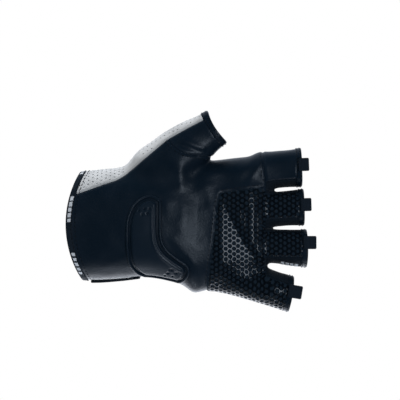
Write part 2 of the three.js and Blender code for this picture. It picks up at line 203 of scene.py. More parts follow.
RADIAL_SEAM = [(-14, 16), (2, 21.8), (19, 28.1), (30.6, 32.6), (44.6, 43.5), (61.9, 58.2)]
THUMB_BACK_SEAM = [(61.9, 58.2), (75.9, 66), (87.6, 72.1), (102, 79)]
THUMB_SEAM = [(61.9, 58.2), (67.2, 53), (74.1, 48.9), (84.5, 47), (91, 46.6)]
CUFF_LOW_SEAM = [(52.6, -35.8), (49, -35), (36.7, -34.6), (20.4, -35.2), (-14, -35.4)]
GRIP_SEAM = [(88.4, -45), (89.4, -39.9), (91.2, -23.5), (93.5, -6.3), (95.7, 13.8), (98.1, 22.4)]
GRIP_TOP_SEAM = [(98.1, 22.4), (109.9, 24.3), (129, 26.4)]
INDEX_SEAM = [(129, 30), (127.4, 37), (126.8, 51)]
CROTCH = (98, 47.6)
ABOVE, BELOW, BEYOND, WEB_START, KNUCKLE = 84, -74, 172, 129, 121
SIDE_DEPTH, THUMB_DEPTH, FINGER_DEPTH = 3.0, -3.0, 3.5
# Corners of the outlines that lie beyond the edge of the glove
GRIP_BELOW, CUFF_BELOW, INDEX_ABOVE = (88, BELOW), (54, BELOW), (126.8, ABOVE)
THUMB_BEYOND = [(120, 79), (120, 50.2)]
STRIP_LINES = {
    "index_low": [(WEB_START, 30), (BEYOND, 33)],
    "middle_top": [(WEB_START, 22), (BEYOND, 24.5)],
    "middle_low": [(WEB_START, 4.6), (BEYOND, 7)],
    "ring_top": [(WEB_START, -3), (BEYOND, -3.8)],
    "ring_low": [(WEB_START, -20.6), (BEYOND, -21.4)],
    "little_top": [(WEB_START, -33), (BEYOND, -50.6)],
}
FINGER_BACKS = {
    "index_back": [(KNUCKLE + 2, ABOVE), (KNUCKLE + 2, 26), (BEYOND, 26), (BEYOND, ABOVE)],
    "middle_back": [(KNUCKLE + 2, 26), (KNUCKLE + 2, -1), (BEYOND, 0), (BEYOND, 26)],
    "ring_back": [(KNUCKLE + 2, -1), (KNUCKLE, -26.5), (BEYOND, -32), (BEYOND, 0)],
    "little_back": [(KNUCKLE, -26.5), (KNUCKLE - 9, BELOW), (BEYOND, BELOW), (BEYOND, -32)],
}
PAD_OUTLINE = [
    (34.8, 0), (35.6, -20.7), (39.7, -29.4), (46, -32.8), (58, -35.4), (68.3, -37.2), (74.2, -36),
    (77.5, -30.1), (75.4, -24.8), (68.3, -19.7), (61.6, -13.5), (58.7, -5), (58.5, 15.2),
    (56.4, 18.4), (50.1, 20.6), (42.4, 17.2), (37.6, 11),
]
# Small recesses in the pad, in two groups of five
PAD_DOTS = [
    (43.7, 10.2), (47.4, 11.3), (50.7, 11.3), (46.1, 7.8), (49.4, 8.4),
    (64.7, -27.7), (62.8, -29.7), (60.7, -31.3), (68.2, -29.9), (65.8, -31.9),
]
PAD_GROOVE = 1.4
# The middle of the pad: its height in shares of the pad's, by depth from its edge, and what the
# two ridges and the groove between them add to it along the finger side
CORE_STEPS = table(
    "depth share",
    [[0, -0.22], [0.08, 0.3], [0.4, 0.5], [0.8, 0.68], [1.3, 0.8], [1.8, 0.85]],
)
RIDGES = table(
    "depth rise",
    [
        [0.08, 0], [0.4, 0.25], [0.8, 0.35], [1.3, 0.25], [1.75, -0.2],
        [2.1, -0.2], [2.5, 0.35], [3.4, 0.35], [3.9, 0],
    ],
)
# The pad's raised rim: its height by its share of the way in from the pad's edge
RIM_STEPS = table(
    "share height",
    [[0, -0.5], [0.04, 0.9], [0.22, 1.55], [0.5, 1.85], [0.78, 1.55], [0.96, 0.9], [1.0, -0.5]],
)
PAD_POINTS = 240  # round its outline
PAD_GRID = 1.1  # spacing of the points in its middle
PAD_X, PAD_V = (34, 80), (-60, 24)  # what they cover along and across the hand
PAD_STRAY, PAD_INWARD, DOT_CLEAR = 0.08, 0.4, 1.3  # how far loops may stray, and room at the edges
DOT_RINGS, DOT_SIDES, DOT_REACH, DOT_DEPTH = (0.8, 0.6), 10, 0.7, 0.7
HEM_WIDTH, HEM_PROUD = 4.2, 0.35
BINDING_START, BINDING_WIDTH, BINDING_PROUD = 3.9, 4.5, 0.5
# Inner offset, rounding and crown of the bands, the points round them, and the hems' unevenness
HEM_BAND, BINDING_BAND = (-2.0, 0.55, 0.1), (-2.2, 0.6, 0.15)
HEM_POINTS, BINDING_POINTS = 120, 280
HEM_WOBBLE, HEM_BUMP = 0.18, 7
BINDING_LAP, HEM_LAP = 1.5, 1.2  # how far the bands reach over the edge of the leather
WRIST_END, STALLS_START, MOUTH_REACH = 30, 60, 20  # X and stations where their edges are looked for
# The leather beside a seam puffs by this share of the seam's depth, this many seam widths away
# and over this many; it is worn within this distance of the seam
PUFF_SHARE, PUFF_AWAY, PUFF_WIDE, WORN_WIDTH = 0.08, 2.4, 1.5, 3.0
STALL_RADIUS = 11.5  # of a typical stall, for measures round it
# One stitch: stations along its half length, its thickness there in shares of the thread's, how
# far its middle stands proud and how much deeper its ends lie
STITCH_ALONG = np.array([-1, -0.85, -0.3, 0.3, 0.85, 1])
STITCH_WIDE = np.array([0.3, 0.85, 1, 1, 0.85, 0.3])
STITCH_SIDES, STITCH_PROUD, STITCH_SINK = 6, 0.12, 0.3
# A punch: its sides, how far it stands above the leather and how much longer it is than the wall
PUNCH_SIDES, PUNCH_PROUD, PUNCH_SPARE = 8, 0.8, 1.2
# A hole's centre lies this near to the lattice's place, and this far from the edge of the panel
HOLE_STRAY, HOLE_RIM = 2.0, 1.7
HOLES_END = {"hand": 124, "thumb": 96}
HOLES_ROUND = 110  # how far round a tube, either way, the lattice of holes reaches
# The print's lattice: its start and end along and across the hand, the points round a hole, how
# far each ring of the hole's rounded edge lies outside the hole and how it drops, and the X where
# the lattice starts to follow the stalls, with the width over which it changes
PRINT_AREA = (84, 166, -72, 34)
PRINT_SIDES = 18
PRINT_EDGE = [(0.2, 0.0), (0.12, -0.02), (0.04, -0.12)]
PRINT_FOOT = (-0.04, -0.08)
PRINT_CHANGE, PRINT_CHANGE_WIDE = 120, 12
PRINT_STRAY, PRINT_RIM = 5, 0.7  # furthest that a cell may be moved, and its least edge distance
STRAP_START, STRAP_END, STRAP_THICK = 10, 44, 2.2
TAB_WIDE, TAB_THICK, TAB_TAPE, TAB_SEWN = 8.8, 1.4, 0.55, 2.4
TAB_LONG = {"index": 4.5, "middle": 4.5, "ring": 6, "little": 6.9}
TAB_SHIFT = {"index": 1.7, "middle": 1.7, "ring": 4.3, "little": 2.6}
GAP = 0.3
SKIN_GROWTH = 0.25  # what softening the skin takes off it again
PALM_TURN, BACK_TURN = 1.5 * math.pi, 0.5 * math.pi  # section angles of the palm and of the back


def length_property(name, description, size):
    """A size in millimetres, kept in metres as Blender's own lengths are."""
    return FloatProperty(
        name=name, description=description, default=size * MM, unit="LENGTH", precision=4
    )


def colour_property(name, description, code):
    """A colour given as an sRGB hex value."""
    return FloatVectorProperty(
        name=name, description=description, default=linear(code), size=4, min=0, max=1, subtype="COLOR"
    )


class GLOVE_PG_sizes(bpy.types.PropertyGroup):
    """Sizes that a maker of the glove would change."""

    wall: length_property("Wall", "Thickness of the leather with its lining", 1.4)
    skin_step: length_property("Skin step", "Spacing of the points on the leather", 0.75)
    seam_depth: length_property("Seam depth", "How far a seam sinks below the leather", 0.55)
    seam_width: length_property("Seam width", "Half width of the sunken line at a seam", 0.8)
    pad_height: length_property("Pad height", "Height of the moulded pad on the heel", 2.3)
    pad_rim: length_property("Pad rim", "Width of the pad's raised rim", 1.9)
    cell_pitch: length_property("Cell pitch", "Spacing of the print's holes along a column", 3.57)
    cell_column: length_property("Cell column", "Spacing of the columns of holes", 2.87)
    cell_hole: length_property("Cell hole", "Width of a hole of the grip print", 2.4)
    cell_height: length_property("Cell height", "Height of the grip print's ridges", 0.4)
    hole_pitch: length_property("Hole pitch", "Spacing of the perforations along a row", 3.7)
    hole_row: length_property("Hole row", "Spacing of the rows of perforations", 2.9)
    hole_width: length_property("Hole width", "Width of one perforation", 1.1)
    stitch: length_property("Stitch", "Length of one stitch", 2.2)
    stitch_gap: length_property("Stitch gap", "Space between two stitches", 0.8)
    thread: length_property("Thread", "Thickness of the sewing thread", 0.5)


class GLOVE_PG_colours(bpy.types.PropertyGroup):
    """Colours of the glove's materials."""

    black_leather: colour_property("Black leather", "Palm, thumb and index leather", "#0b1721")
    black_leather_worn: colour_property("Worn leather", "Rubbed places of the black leather", "#151f29")
    light_leather: colour_property("Light leather", "Perforated leather of the back", "#c6c6c5")
    light_leather_soiled: colour_property("Soiled leather", "Handled places of it", "#a6a6a5")
    lining: colour_property("Lining", "Brushed lining inside the glove", "#16191d")
    grip_fabric: colour_property("Grip fabric", "Woven ground of the grip panel", "#15212b")
    grip_print: colour_property("Grip print", "Raised print on the grip panel", "#04090e")
    knit: colour_property("Knit", "Stretch knit of the finger backs", "#0d151c")
    side_knit: colour_property("Side knit", "Ribbed strips between the fingers", "#121a22")
    rubber: colour_property("Rubber", "Moulded pad", "#0f1b25")
    webbing: colour_property("Webbing", "Binding, strap and pull tabs", "#10171e")
    dash: colour_property("Dashes", "Plain dashes woven into the binding", "#c9ccd0")
    thread: colour_property("Thread", "Sewing thread", "#0c1218")
    floor: colour_property("Floor", "Pale studio floor", "#f2f3f4")


def mm(name):
    """One of the glove's sizes, in millimetres."""
    return getattr(bpy.context.scene.glove_sizes, name) / MM


def colour(name):
    """One of the glove's colours."""
    return tuple(getattr(bpy.context.scene.glove_colours, name))


def signed_power(value, power):
    """A power of the size of a value, with the value's own sign."""
    return np.sign(value) * np.abs(value) ** power


def ease(value):
    """0 below 0, 1 above 1, and smooth between."""
    t = np.clip(value, 0, 1)
    return t * t * (3 - 2 * t)


class Tube:
    """One tapering tube of the glove, read from its table of sections."""

    SETTLE = 14  # rounds in which a station settles
    SPARE = 40  # how far past the tube's ends a place is still measured

    def __init__(self, rows):
        self.x = rows["x"]
        self.start, self.end = self.x[0], self.x[-1]
        self.columns = {name: values for name, values in rows.items() if name != "x"}
        self.columns.setdefault("bow", np.zeros_like(self.x))
        self.tangents = {}
        for name, values in self.columns.items():
            slopes = np.diff(values) / np.diff(self.x)
            middle = (slopes[:-1] + slopes[1:]) / 2
            self.tangents[name] = np.concatenate([slopes[:1], middle, slopes[-1:]])

    def section(self, station):
        """Every column at these stations, running straight on past the ends of the table."""
        station = np.asarray(station, float)
        inside = np.clip(station, self.start, self.end)
        i = np.clip(np.searchsorted(self.x, inside, side="right") - 1, 0, len(self.x) - 2)
        span = self.x[i + 1] - self.x[i]
        p = (inside - self.x[i]) / span
        found = {}
        for name, values in self.columns.items():
            slope = self.tangents[name]
            found[name] = (
                (2 * p**3 - 3 * p**2 + 1) * values[i]
                + (p**3 - 2 * p**2 + p) * span * slope[i]
                + (3 * p**2 - 2 * p**3) * values[i + 1]
                + (p**3 - p**2) * span * slope[i + 1]
            )
        found["z"] = found["z"] + np.tan(np.radians(found["tilt"])) * (station - inside)
        return found

    def points(self, station, angle, offset=0.0):
        """Points of the tube at these stations and section angles, grown by an offset."""
        s = self.section(station)
        tilt = np.radians(s["tilt"])
        across = signed_power(np.cos(angle), 2 / SQUARENESS)
        deep = signed_power(np.sin(angle), 2 / SQUARENESS)
        width = across * (s["half"] + offset)
        depth = deep * (np.where(deep < 0, s["palm"], s["back"]) + offset)
        x = station - np.sin(tilt) * width - s["bow"] * (1 - across**2)
        return np.stack(np.broadcast_arrays(x, s["y"] + depth, s["z"] + np.cos(tilt) * width), -1)

    def measure(self, points):
        """Station, section angle and rough distance outside the tube of points near it."""
        x, y, z = points.T
        station = x.copy()
        for _ in range(self.SETTLE):
            s = self.section(station)
            tilt = np.radians(s["tilt"])
            width = (z - s["z"]) / np.cos(tilt)
            across = np.clip(width / s["half"], -1, 1)
            settled = x + np.sin(tilt) * width + s["bow"] * (1 - across**2)
            station = np.clip(settled, self.start - self.SPARE, self.end + self.SPARE)
        half_depth = np.where(y < s["y"], s["palm"], s["back"])
        deep = (y - s["y"]) / half_depth
        wide = width / s["half"]
        reach = (np.abs(wide) ** SQUARENESS + np.abs(deep) ** SQUARENESS) ** (1 / SQUARENESS)
        angle = np.arctan2(
            signed_power(deep, SQUARENESS / 2), signed_power(wide, SQUARENESS / 2)
        )
        return station, angle, (reach - 1) * np.minimum(s["half"], half_depth)


HAND = Tube(HAND_ROWS)
STALLS = {name: Tube(rows) for name, rows in STALL_ROWS.items()}


class Chart:
    """Flat measures on a tube: along it by X, and round it by length from its palm or back."""

    STEP = 0.5
    HALF_ROUND = 360  # points over each half of a ring

    def __init__(self, tube, anchor, first, last, reach=120):
        self.tube, self.first, self.last = tube, first, last
        stations = np.arange(first, last + 1)
        half = self.HALF_ROUND
        turns = anchor + np.radians(np.linspace(-180, 180, 2 * half + 1))
        rings = tube.points(stations[:, None], turns)
        steps = np.linalg.norm(np.diff(rings[..., 1:], axis=1), axis=2)
        arcs = np.pad(np.cumsum(steps, axis=1), ((0, 0), (1, 0)))
        arcs -= arcs[:, half:half + 1]
        self.reach = reach
        self.direction = 1 if anchor == PALM_TURN else -1
        flats = np.arange(-reach, reach + self.STEP, self.STEP)
        self.angles = np.array([np.interp(flats, arc, turns) for arc in arcs])

    def angle(self, station, flat):
        """Section angle at a length round the tube from its anchor."""
        row = np.clip(np.asarray(station, float) - self.first, 0, len(self.angles) - 1.001)
        column = (self.direction * flat + self.reach) / self.STEP
        column = np.clip(column, 0, self.angles.shape[1] - 1.001)
        i, j = row.astype(int), column.astype(int)
        p, q = row - i, column - j
        near = self.angles[i, j] * (1 - q) + self.angles[i, j + 1] * q
        far = self.angles[i + 1, j] * (1 - q) + self.angles[i + 1, j + 1] * q
        return near * (1 - p) + far * p

    def place(self, x, flat, offset=0.0):
        """Points of the tube at these X places. The flat measure starts from the section's Z."""
        station = np.asarray(x, float).copy()
        for _ in range(6):
            angle = self.angle(station, flat - self.tube.section(station)["z"])
            found = self.tube.points(station, angle, offset)
            station = station + x - found[..., 0]
        return found

    def flat(self, x, z, limit=0.97):
        """The flat measure of palm-side places seen at X and Z."""
        s = self.tube.section(x)
        across = np.clip((z - s["z"]) / s["half"], -limit, limit)
        wanted = 2 * math.pi - np.arccos(signed_power(across, SQUARENESS / 2))
        flats = np.arange(-self.reach, self.reach, self.STEP)
        found = []
        for station, angle, middle in zip(np.atleast_1d(x), wanted, s["z"]):
            found.append(middle + np.interp(angle, self.angle(np.full_like(flats, station), flats), flats))
        return np.array(found)


def spline(points, closed=False, steps=8):
    """A smooth line through points."""
    given = np.array(points, float)
    if closed:
        given = np.vstack([given[-1:], given, given[:2]])
    else:
        given = np.vstack([given[:1], given, given[-1:]])
    t = np.linspace(0, 1, steps, endpoint=False)[:, None]
    pieces = []
    for a, b, c, d in zip(given, given[1:], given[2:], given[3:]):
        bent = (2 * a - 5 * b + 4 * c - d) * t**2 + (3 * b - a - 3 * c + d) * t**3
        pieces.append(b + 0.5 * ((c - a) * t + bent))
    if not closed:
        pieces.append(given[-1:])
    return np.vstack(pieces)


def outline_distance(points, outline):
    """Distance from flat points to a closed outline, negative inside it."""
    start = np.asarray(outline, float)
    along = np.roll(start, -1, axis=0) - start
    x, z = points[:, :1], points[:, 1:]
    away_x, away_z = x - start[:, 0], z - start[:, 1]
    length = np.maximum((along**2).sum(1), 1e-9)
    share = np.clip((away_x * along[:, 0] + away_z * along[:, 1]) / length, 0, 1)
    nearest = np.hypot(away_x - share * along[:, 0], away_z - share * along[:, 1]).min(1)
    end_z = start[:, 1] + along[:, 1]
    crosses = (start[:, 1] > z) != (end_z > z)
    rise = np.where(np.abs(along[:, 1]) < 1e-9, 1e-9, along[:, 1])
    inside = (crosses & (x < start[:, 0] + away_z * along[:, 0] / rise)).sum(1) % 2 == 1
    return np.where(inside, -nearest, nearest)


def panel_outlines():
    """The outline of each palm-side panel, seen from the palm side, and the depth where it ends."""
    radial, thumb_back, thumb, cuff, grip, grip_top, index = (
        [tuple(p) for p in spline(line)]
        for line in (
            RADIAL_SEAM, THUMB_BACK_SEAM, THUMB_SEAM, CUFF_LOW_SEAM, GRIP_SEAM, GRIP_TOP_SEAM, INDEX_SEAM
        )
    )
    lines = STRIP_LINES
    palm = radial + thumb[1:] + [CROTCH] + index[::-1] + grip_top[::-1] + grip[::-1][1:]
    grip_area = (
        grip + grip_top[1:] + lines["middle_top"] + lines["middle_low"][::-1] + lines["ring_top"]
        + lines["ring_low"][::-1] + lines["little_top"] + [(BEYOND, BELOW), GRIP_BELOW]
    )
    return {
        "palm_leather": (palm + [GRIP_BELOW, CUFF_BELOW] + cuff, SIDE_DEPTH),
        "thumb_leather": (
            thumb_back + THUMB_BEYOND + [CROTCH] + thumb[::-1][1:-1], THUMB_DEPTH
        ),
        "index_leather": (
            index + [INDEX_ABOVE, (BEYOND, ABOVE), lines["index_low"][1]], FINGER_DEPTH
        ),
        "grip_fabric": (grip_area, FINGER_DEPTH),
        "index_middle_side": (lines["index_low"] + lines["middle_top"][::-1], FINGER_DEPTH),
        "middle_ring_side": (lines["middle_low"] + lines["ring_top"][::-1], FINGER_DEPTH),
        "ring_little_side": (lines["ring_low"] + lines["little_top"][::-1], FINGER_DEPTH),
    }


def panel_field(points, outline, depth=math.inf):
    """Negative where a point of the skin belongs to a panel."""
    flat = outline_distance(points[:, [0, 2]], outline)
    return np.maximum(flat, points[:, 1] - depth)


def compacted(data, faces):
    """A surface without the points that no face uses."""
    used, where = np.unique(faces, return_inverse=True)
    return data[used], where.reshape(faces.shape)


def cut(data, faces, field):
    """Splits a triangle surface along the zero line of a field, into the negative and the rest."""
    count = len(data)
    inside = field < 0
    sides = np.stack([faces, np.roll(faces, -1, axis=1)], -1)
    crossing = sides[inside[sides[..., 0]] != inside[sides[..., 1]]]
    keys = np.unique(crossing.min(1) * count + crossing.max(1))
    low, high = keys // count, keys % count
    share = np.clip(field[low] / (field[low] - field[high]), 0.03, 0.97)[:, None]
    both = np.vstack([data, data[low] * (1 - share) + data[high] * share])

    def crossing_point(a, b):
        return count + np.searchsorted(keys, np.minimum(a, b) * count + np.maximum(a, b))

    def turned(chosen, first):
        order = (np.argmax(first, axis=1)[:, None] + np.arange(3)) % 3
        return np.take_along_axis(chosen, order, 1).T

    parts = []
    for keep in (inside, ~inside):
        kept = keep[faces]
        total = kept.sum(1)
        a, b, c = turned(faces[total == 1], kept[total == 1])
        d, e, f = turned(faces[total == 2], ~kept[total == 2])
        made = [
            faces[total == 3],
            np.stack([a, crossing_point(a, b), crossing_point(a, c)], 1),
            np.stack([crossing_point(d, e), e, f], 1),
            np.stack([crossing_point(d, e), f, crossing_point(d, f)], 1),
        ]
        parts.append(compacted(both, np.vstack(made)) if len(np.vstack(made)) else None)
    return parts


def boundary(faces):
    """The directed edges that belong to one face only."""
    sides = np.vstack([faces[:, [0, 1]], faces[:, [1, 2]], faces[:, [2, 0]]])
    count = int(faces.max()) + 1
    keys = sides.min(1) * count + sides.max(1)
    _, first, times = np.unique(keys, return_index=True, return_counts=True)
    return sides[first[times == 1]]


def vertex_normals(points, faces):
    """Normals of a triangle surface, weighted by area."""
    a, b, c = (points[faces[:, i]] for i in range(3))
    flat = np.cross(b - a, c - a)
    total = np.zeros_like(points)
    for i in range(3):
        for k in range(3):
            total[:, k] += np.bincount(faces[:, i], flat[:, k], len(points))
    return unit(total)


def unit(vectors):
    """Vectors brought to a length of 1."""
    return vectors / np.maximum(np.linalg.norm(vectors, axis=-1, keepdims=True), 1e-12)


def relaxed(points, edges, weight, rounds):
    """Points drawn towards the middle of their neighbours."""
    moved = np.broadcast_to(weight, (len(points), 1))[:, 0] > 0.002
    edges = edges[moved[edges].any(1)]
    ends = np.concatenate([edges[:, 0], edges[:, 1]])
    others = np.concatenate([edges[:, 1], edges[:, 0]])
    count = np.maximum(np.bincount(ends, minlength=len(points)), 1)
    for _ in range(rounds):
        sums = [np.bincount(ends, points[others, k], len(points)) for k in range(3)]
        middle = np.stack(sums, 1) / count[:, None]
        points = np.where(moved[:, None], points + weight * (middle - points), points)
    return points


def fold_rise(x, z):
    """How far the folds lift the palm side at one place."""
    rise = np.zeros_like(x)
    for x0, z0, x1, z1, height, width in zip(*FOLDS.values()):
        along = np.array([x1 - x0, z1 - z0])
        share = np.clip(((x - x0) * along[0] + (z - z0) * along[1]) / (along @ along), 0, 1)
        away = np.hypot(x - x0 - share * along[0], z - z0 - share * along[1])
        rise += height * np.exp(-((away / width) ** 2))
    return rise


def flat_rise(x, z):
    """How far the long flat of the palm lifts or sinks it at one place."""
    across, along = np.array(FLAT_END).T
    away = np.linspace(FLAT_SLOPES["away"][0], FLAT_SLOPES["away"][-1], 200)
    slopes = np.interp(away, *FLAT_SLOPES.values())
    heights = np.cumsum(slopes) * (away[1] - away[0])
    rise = np.interp(x - np.interp(z, along, across), away, heights, right=0)
    (top, low), (top_fade, low_fade) = FLAT_ENDS, FLAT_FADES
    return rise * ease((top - z) / top_fade) * ease((z - low) / low_fade)


def hollow_rise(x, z):
    """How far the hollow of the palm lifts the crest and sinks the valley at one place."""
    across, along = np.array(HOLLOW_VALLEY)[::-1].T
    valley = np.interp(z, along, across)
    drop = HOLLOW_SLOPE * (valley - HOLLOW_CREST)
    down = np.clip((x - HOLLOW_CREST) / (valley - HOLLOW_CREST), 0, 1)
    level = drop * (CREST_SHARE - down)
    before = ease((x - HOLLOW_CREST + HOLLOW_RISE) / HOLLOW_RISE)
    after = ease((valley + HOLLOW_FALL - x) / HOLLOW_FALL)
    (top, low), (top_fade, low_fade) = HOLLOW_ENDS, HOLLOW_FADES
    return level * before * after * ease((top - z) / top_fade) * ease((z - low) / low_fade)


def unevenness(points, size, seed, waves=18):
    """A soft irregular field from -1 to 1 or so, with bumps of about this size."""
    draw = np.random.default_rng(seed)
    total = np.zeros(len(points))
    for _ in range(waves):
        direction = unit(draw.normal(size=3))
        frequency = math.pi / size * draw.uniform(0.6, 1.4)
        total += np.sin(points @ direction * frequency + draw.uniform(0, 2 * math.pi))
    return total / math.sqrt(waves)


def tube_mesh(tube, start, end, growth, sides=96, step=2.0):
    """A closed tube as points and faces."""
    stations = np.linspace(start, end, max(2, round((end - start) / step)))
    angles = np.linspace(0, 2 * math.pi, sides, endpoint=False)
    rings = tube.points(stations[:, None], angles, growth)
    faces = grid_faces(len(stations), sides, wrap=True)
    points = rings.reshape(-1, 3)
    last = len(points) - sides
    caps = [list(range(sides)), list(range(len(points) - 1, last - 1, -1))]
    return points, faces.tolist() + caps


def grid_faces(rows, columns, wrap=False, wrap_rows=False):
    """Quads of a grid of points, row by row, that may close on itself either way."""
    i = np.arange(rows if wrap_rows else rows - 1)
    j = np.arange(columns if wrap else columns - 1)
    i, j = (a.ravel() for a in np.meshgrid(i, j, indexing="ij"))
    after_i, after_j = (i + 1) % rows, (j + 1) % columns
    return np.stack(
        [i * columns + j, after_i * columns + j, after_i * columns + after_j, i * columns + after_j], 1
    )


@functools.cache
def skin():
    """The whole outer surface: the union of the hand and the stalls, softened and folded."""
    points, faces = [], []
    tubes = [(HAND, HAND.start - HAND_OVERRUN, HAND.end)]
    tubes += [(tube, tube.start, tube.end + STALL_OVERRUN) for tube in STALLS.values()]
    for tube, start, end in tubes:
        more, made = tube_mesh(tube, start, end, SKIN_GROWTH)
        before = sum(map(len, points))
        points.append(more)
        faces += [[before + i for i in face] for face in made]
    mesh = bpy.data.meshes.new("tubes")
    mesh.from_pydata((np.vstack(points) * MM).tolist(), [], faces)
    holder = bpy.data.objects.new("tubes", mesh)
    bpy.context.scene.collection.objects.link(holder)
    remesh = holder.modifiers.new("union", "REMESH")
    remesh.mode = "VOXEL"
    remesh.voxel_size = mm("skin_step") * MM
    depsgraph = bpy.context.evaluated_depsgraph_get()
    whole = bpy.data.meshes.new_from_object(holder.evaluated_get(depsgraph))
    count = len(whole.vertices)
    found = np.empty(count * 3)
    whole.vertices.foreach_get("co", found)
    edges = np.empty(len(whole.edges) * 2, int)
    whole.edges.foreach_get("vertices", edges)
    whole.calc_loop_triangles()
    triangles = np.empty(len(whole.loop_triangles) * 3, int)
    whole.loop_triangles.foreach_get("vertices", triangles)
    bpy.data.objects.remove(holder)
    points, edges, faces = found.reshape(-1, 3) / MM, edges.reshape(-1, 2), triangles.reshape(-1, 3)

    points = relaxed(points, edges, SOFTENING, SKIN_ROUNDS)
    meeting = junction(points, JUNCTION_REACH)
    points = relaxed(points, edges, SOFTENING * meeting[:, None], JUNCTION_ROUNDS)
    # The leather runs on from the heel to the base of the thumb in one soft slope
    thumb_base = junction(points, THUMB_REACH)
    thumb_base = thumb_base * ease((THUMB_BASE_X - points[:, 0]) / THUMB_BASE_FADE)
    thumb_base = thumb_base * ease((points[:, 2] - THUMB_BASE_Z) / THUMB_BASE_FADE)
    points = relaxed(points, edges, SOFTENING * thumb_base[:, None], THUMB_ROUNDS)
    x, y, z = points.T
    from_pad = outline_distance(points[:, [0, 2]], spline(PAD_OUTLINE, closed=True))
    beside_pad = ease((from_pad - FOLDS_FROM_PAD) / FOLDS_FADE)
    rise = fold_rise(x, z) * beside_pad + flat_rise(x, z) + hollow_rise(x, z)
    points[:, 1] -= rise * ease(-y / FOLD_DEPTH)
    normals = vertex_normals(points, faces)
    soft = sum(height * unevenness(points, size, seed) for height, size, seed in SKIN_BUMPS)
    points = points + normals * soft[:, None]
    return points, vertex_normals(points, faces), faces


def junction(points, reach):
    """1 where two tubes meet, falling to 0 within about twice this reach."""
    found = []
    for tube in (HAND, *STALLS.values()):
        station, _, outside = tube.measure(points)
        near = (station > tube.start - TUBE_BEFORE) & (station < tube.end + TUBE_AFTER)
        found.append(np.where(near, np.abs(outside), FAR))
    second = np.sort(found, axis=0)[1]
    return np.exp(-((second / reach) ** 2))


def end_field(points):
    """Negative where the skin is kept, between the wrist binding and the hem of each stall."""
    station, _, _ = HAND.measure(points)
    under_binding = BINDING_START + BINDING_LAP - station
    field = np.where(points[:, 0] < WRIST_END, under_binding, INSIDE)
    names = list(STALLS)
    measured = [STALLS[name].measure(points) for name in names]
    nearest = np.argmin([np.abs(m[2]) for m in measured], axis=0)
    for i, name in enumerate(names):
        tube = STALLS[name]
        beyond = measured[i][0] - (tube.end - HEM_WIDTH + HEM_LAP)
        beyond = np.where(measured[i][0] > tube.end - MOUTH_REACH, beyond, INSIDE)
        field = np.where((nearest == i) & (points[:, 0] > STALLS_START), beyond, field)
    return field


@functools.cache
def panels():
    """Each panel's own surface: points with their normals, its triangles and its edge weight."""
    points, normals, faces = skin()
    rest = cut(np.hstack([points, normals]), faces, end_field(points))[0]
    found = {}
    shapes = dict(panel_outlines())
    shapes.update({name: (outline, math.inf) for name, outline in FINGER_BACKS.items()})
    for name, (outline, depth) in shapes.items():
        found[name], rest = cut(*rest, panel_field(rest[0][:, :3], outline, depth))
    found["back_leather"] = rest
    return {name: rolled(*part) for name, part in found.items()}


def edge_distance(points, faces):
    """Distance of every point of a surface from its edge."""
    edges = boundary(faces)
    line = np.vstack([points[edges[:, 0]], (points[edges[:, 0]] + points[edges[:, 1]]) / 2])
    tree = KDTree(len(line))
    for i, p in enumerate(line):
        tree.insert(p, i)
    tree.balance()
    return np.array([tree.find(p)[2] for p in points])


def rolled(data, faces):
    """A panel with its edge turned down into the seam and puffed beside it."""
    points, normals = data[:, :3], unit(data[:, 3:6])
    away = edge_distance(points, faces)
    depth, width = mm("seam_depth"), mm("seam_width")
    sunk = depth * np.exp(-((away / width) ** 2))
    puff = PUFF_SHARE * depth * np.exp(-(((away - PUFF_AWAY * width) / (PUFF_WIDE * width)) ** 2))
    outer = points + normals * (puff - sunk)[:, None]
    return {
        "points": outer,
        "inner": points - normals * mm("wall"),
        "normals": normals,
        "faces": faces,
        "edge": np.exp(-away / WORN_WIDTH),
    }


@functools.cache
def dressed_tree():
    """Finds places on the finished outer surface."""
    points, faces, count = [], [], 0
    for part in panels().values():
        points.append(part["points"])
        faces.append(part["faces"] + count)
        count += len(part["points"])
    return BVHTree.FromPolygons(np.vstack(points).tolist(), np.vstack(faces).tolist())


def settled(points, height=0.0, tree=None):
    """Points moved to the nearest place on the finished surface, with its normals."""
    tree = tree or dressed_tree()
    found = [tree.find_nearest(p) for p in np.asarray(points).reshape(-1, 3)]
    places = np.array([f[0] for f in found])
    normals = np.array([f[1] for f in found])
    return places + normals * np.reshape(height, (-1, 1) if np.ndim(height) else (1, 1)), normals


def seen_from_palm(x, z):
    """Places on the finished surface that show at X and Z from the palm side, with normals."""
    tree = dressed_tree()
    places, normals = [], []
    for px, pz in zip(x, z):
        where, normal, _, _ = tree.ray_cast(Vector((px, IN_FRONT, pz)), Vector((0, 1, 0)))
        if where is not None:
            places.append(where)
            normals.append(normal)
    return np.array(places), np.array(normals)


def mesh_object(name, points, faces, materials, slots=None, flat=None, edge=None):
    """A smooth mesh object from points in millimetres."""
    mesh = bpy.data.meshes.new(name)
    mesh.from_pydata((np.asarray(points) * MM).tolist(), [], [list(map(int, f)) for f in faces])
    for material in materials:
        mesh.materials.append(material)
    if slots is not None:
        mesh.polygons.foreach_set("material_index", np.asarray(slots, np.int32))
    if flat is not None:
        layer = mesh.uv_layers.new(name="flat")
        layer.data.foreach_set("uv", np.asarray(flat, np.float32).ravel())
    if edge is not None:
        layer = mesh.attributes.new("edge", "FLOAT", "POINT")
        layer.data.foreach_set("value", np.asarray(edge, np.float32))
    mesh.shade_smooth()
    mesh.update()
    piece = bpy.data.objects.new(name, mesh)
    bpy.context.scene.collection.objects.link(piece)
    return piece


def fitted(piece, slot, *nodes):
    """Makes a piece ride on the glove's one body and hides the nodes it stands for. The finish that it is
    given is not used.
    """
    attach(piece, "root")
    if nodes:
        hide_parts(*nodes)
    return piece


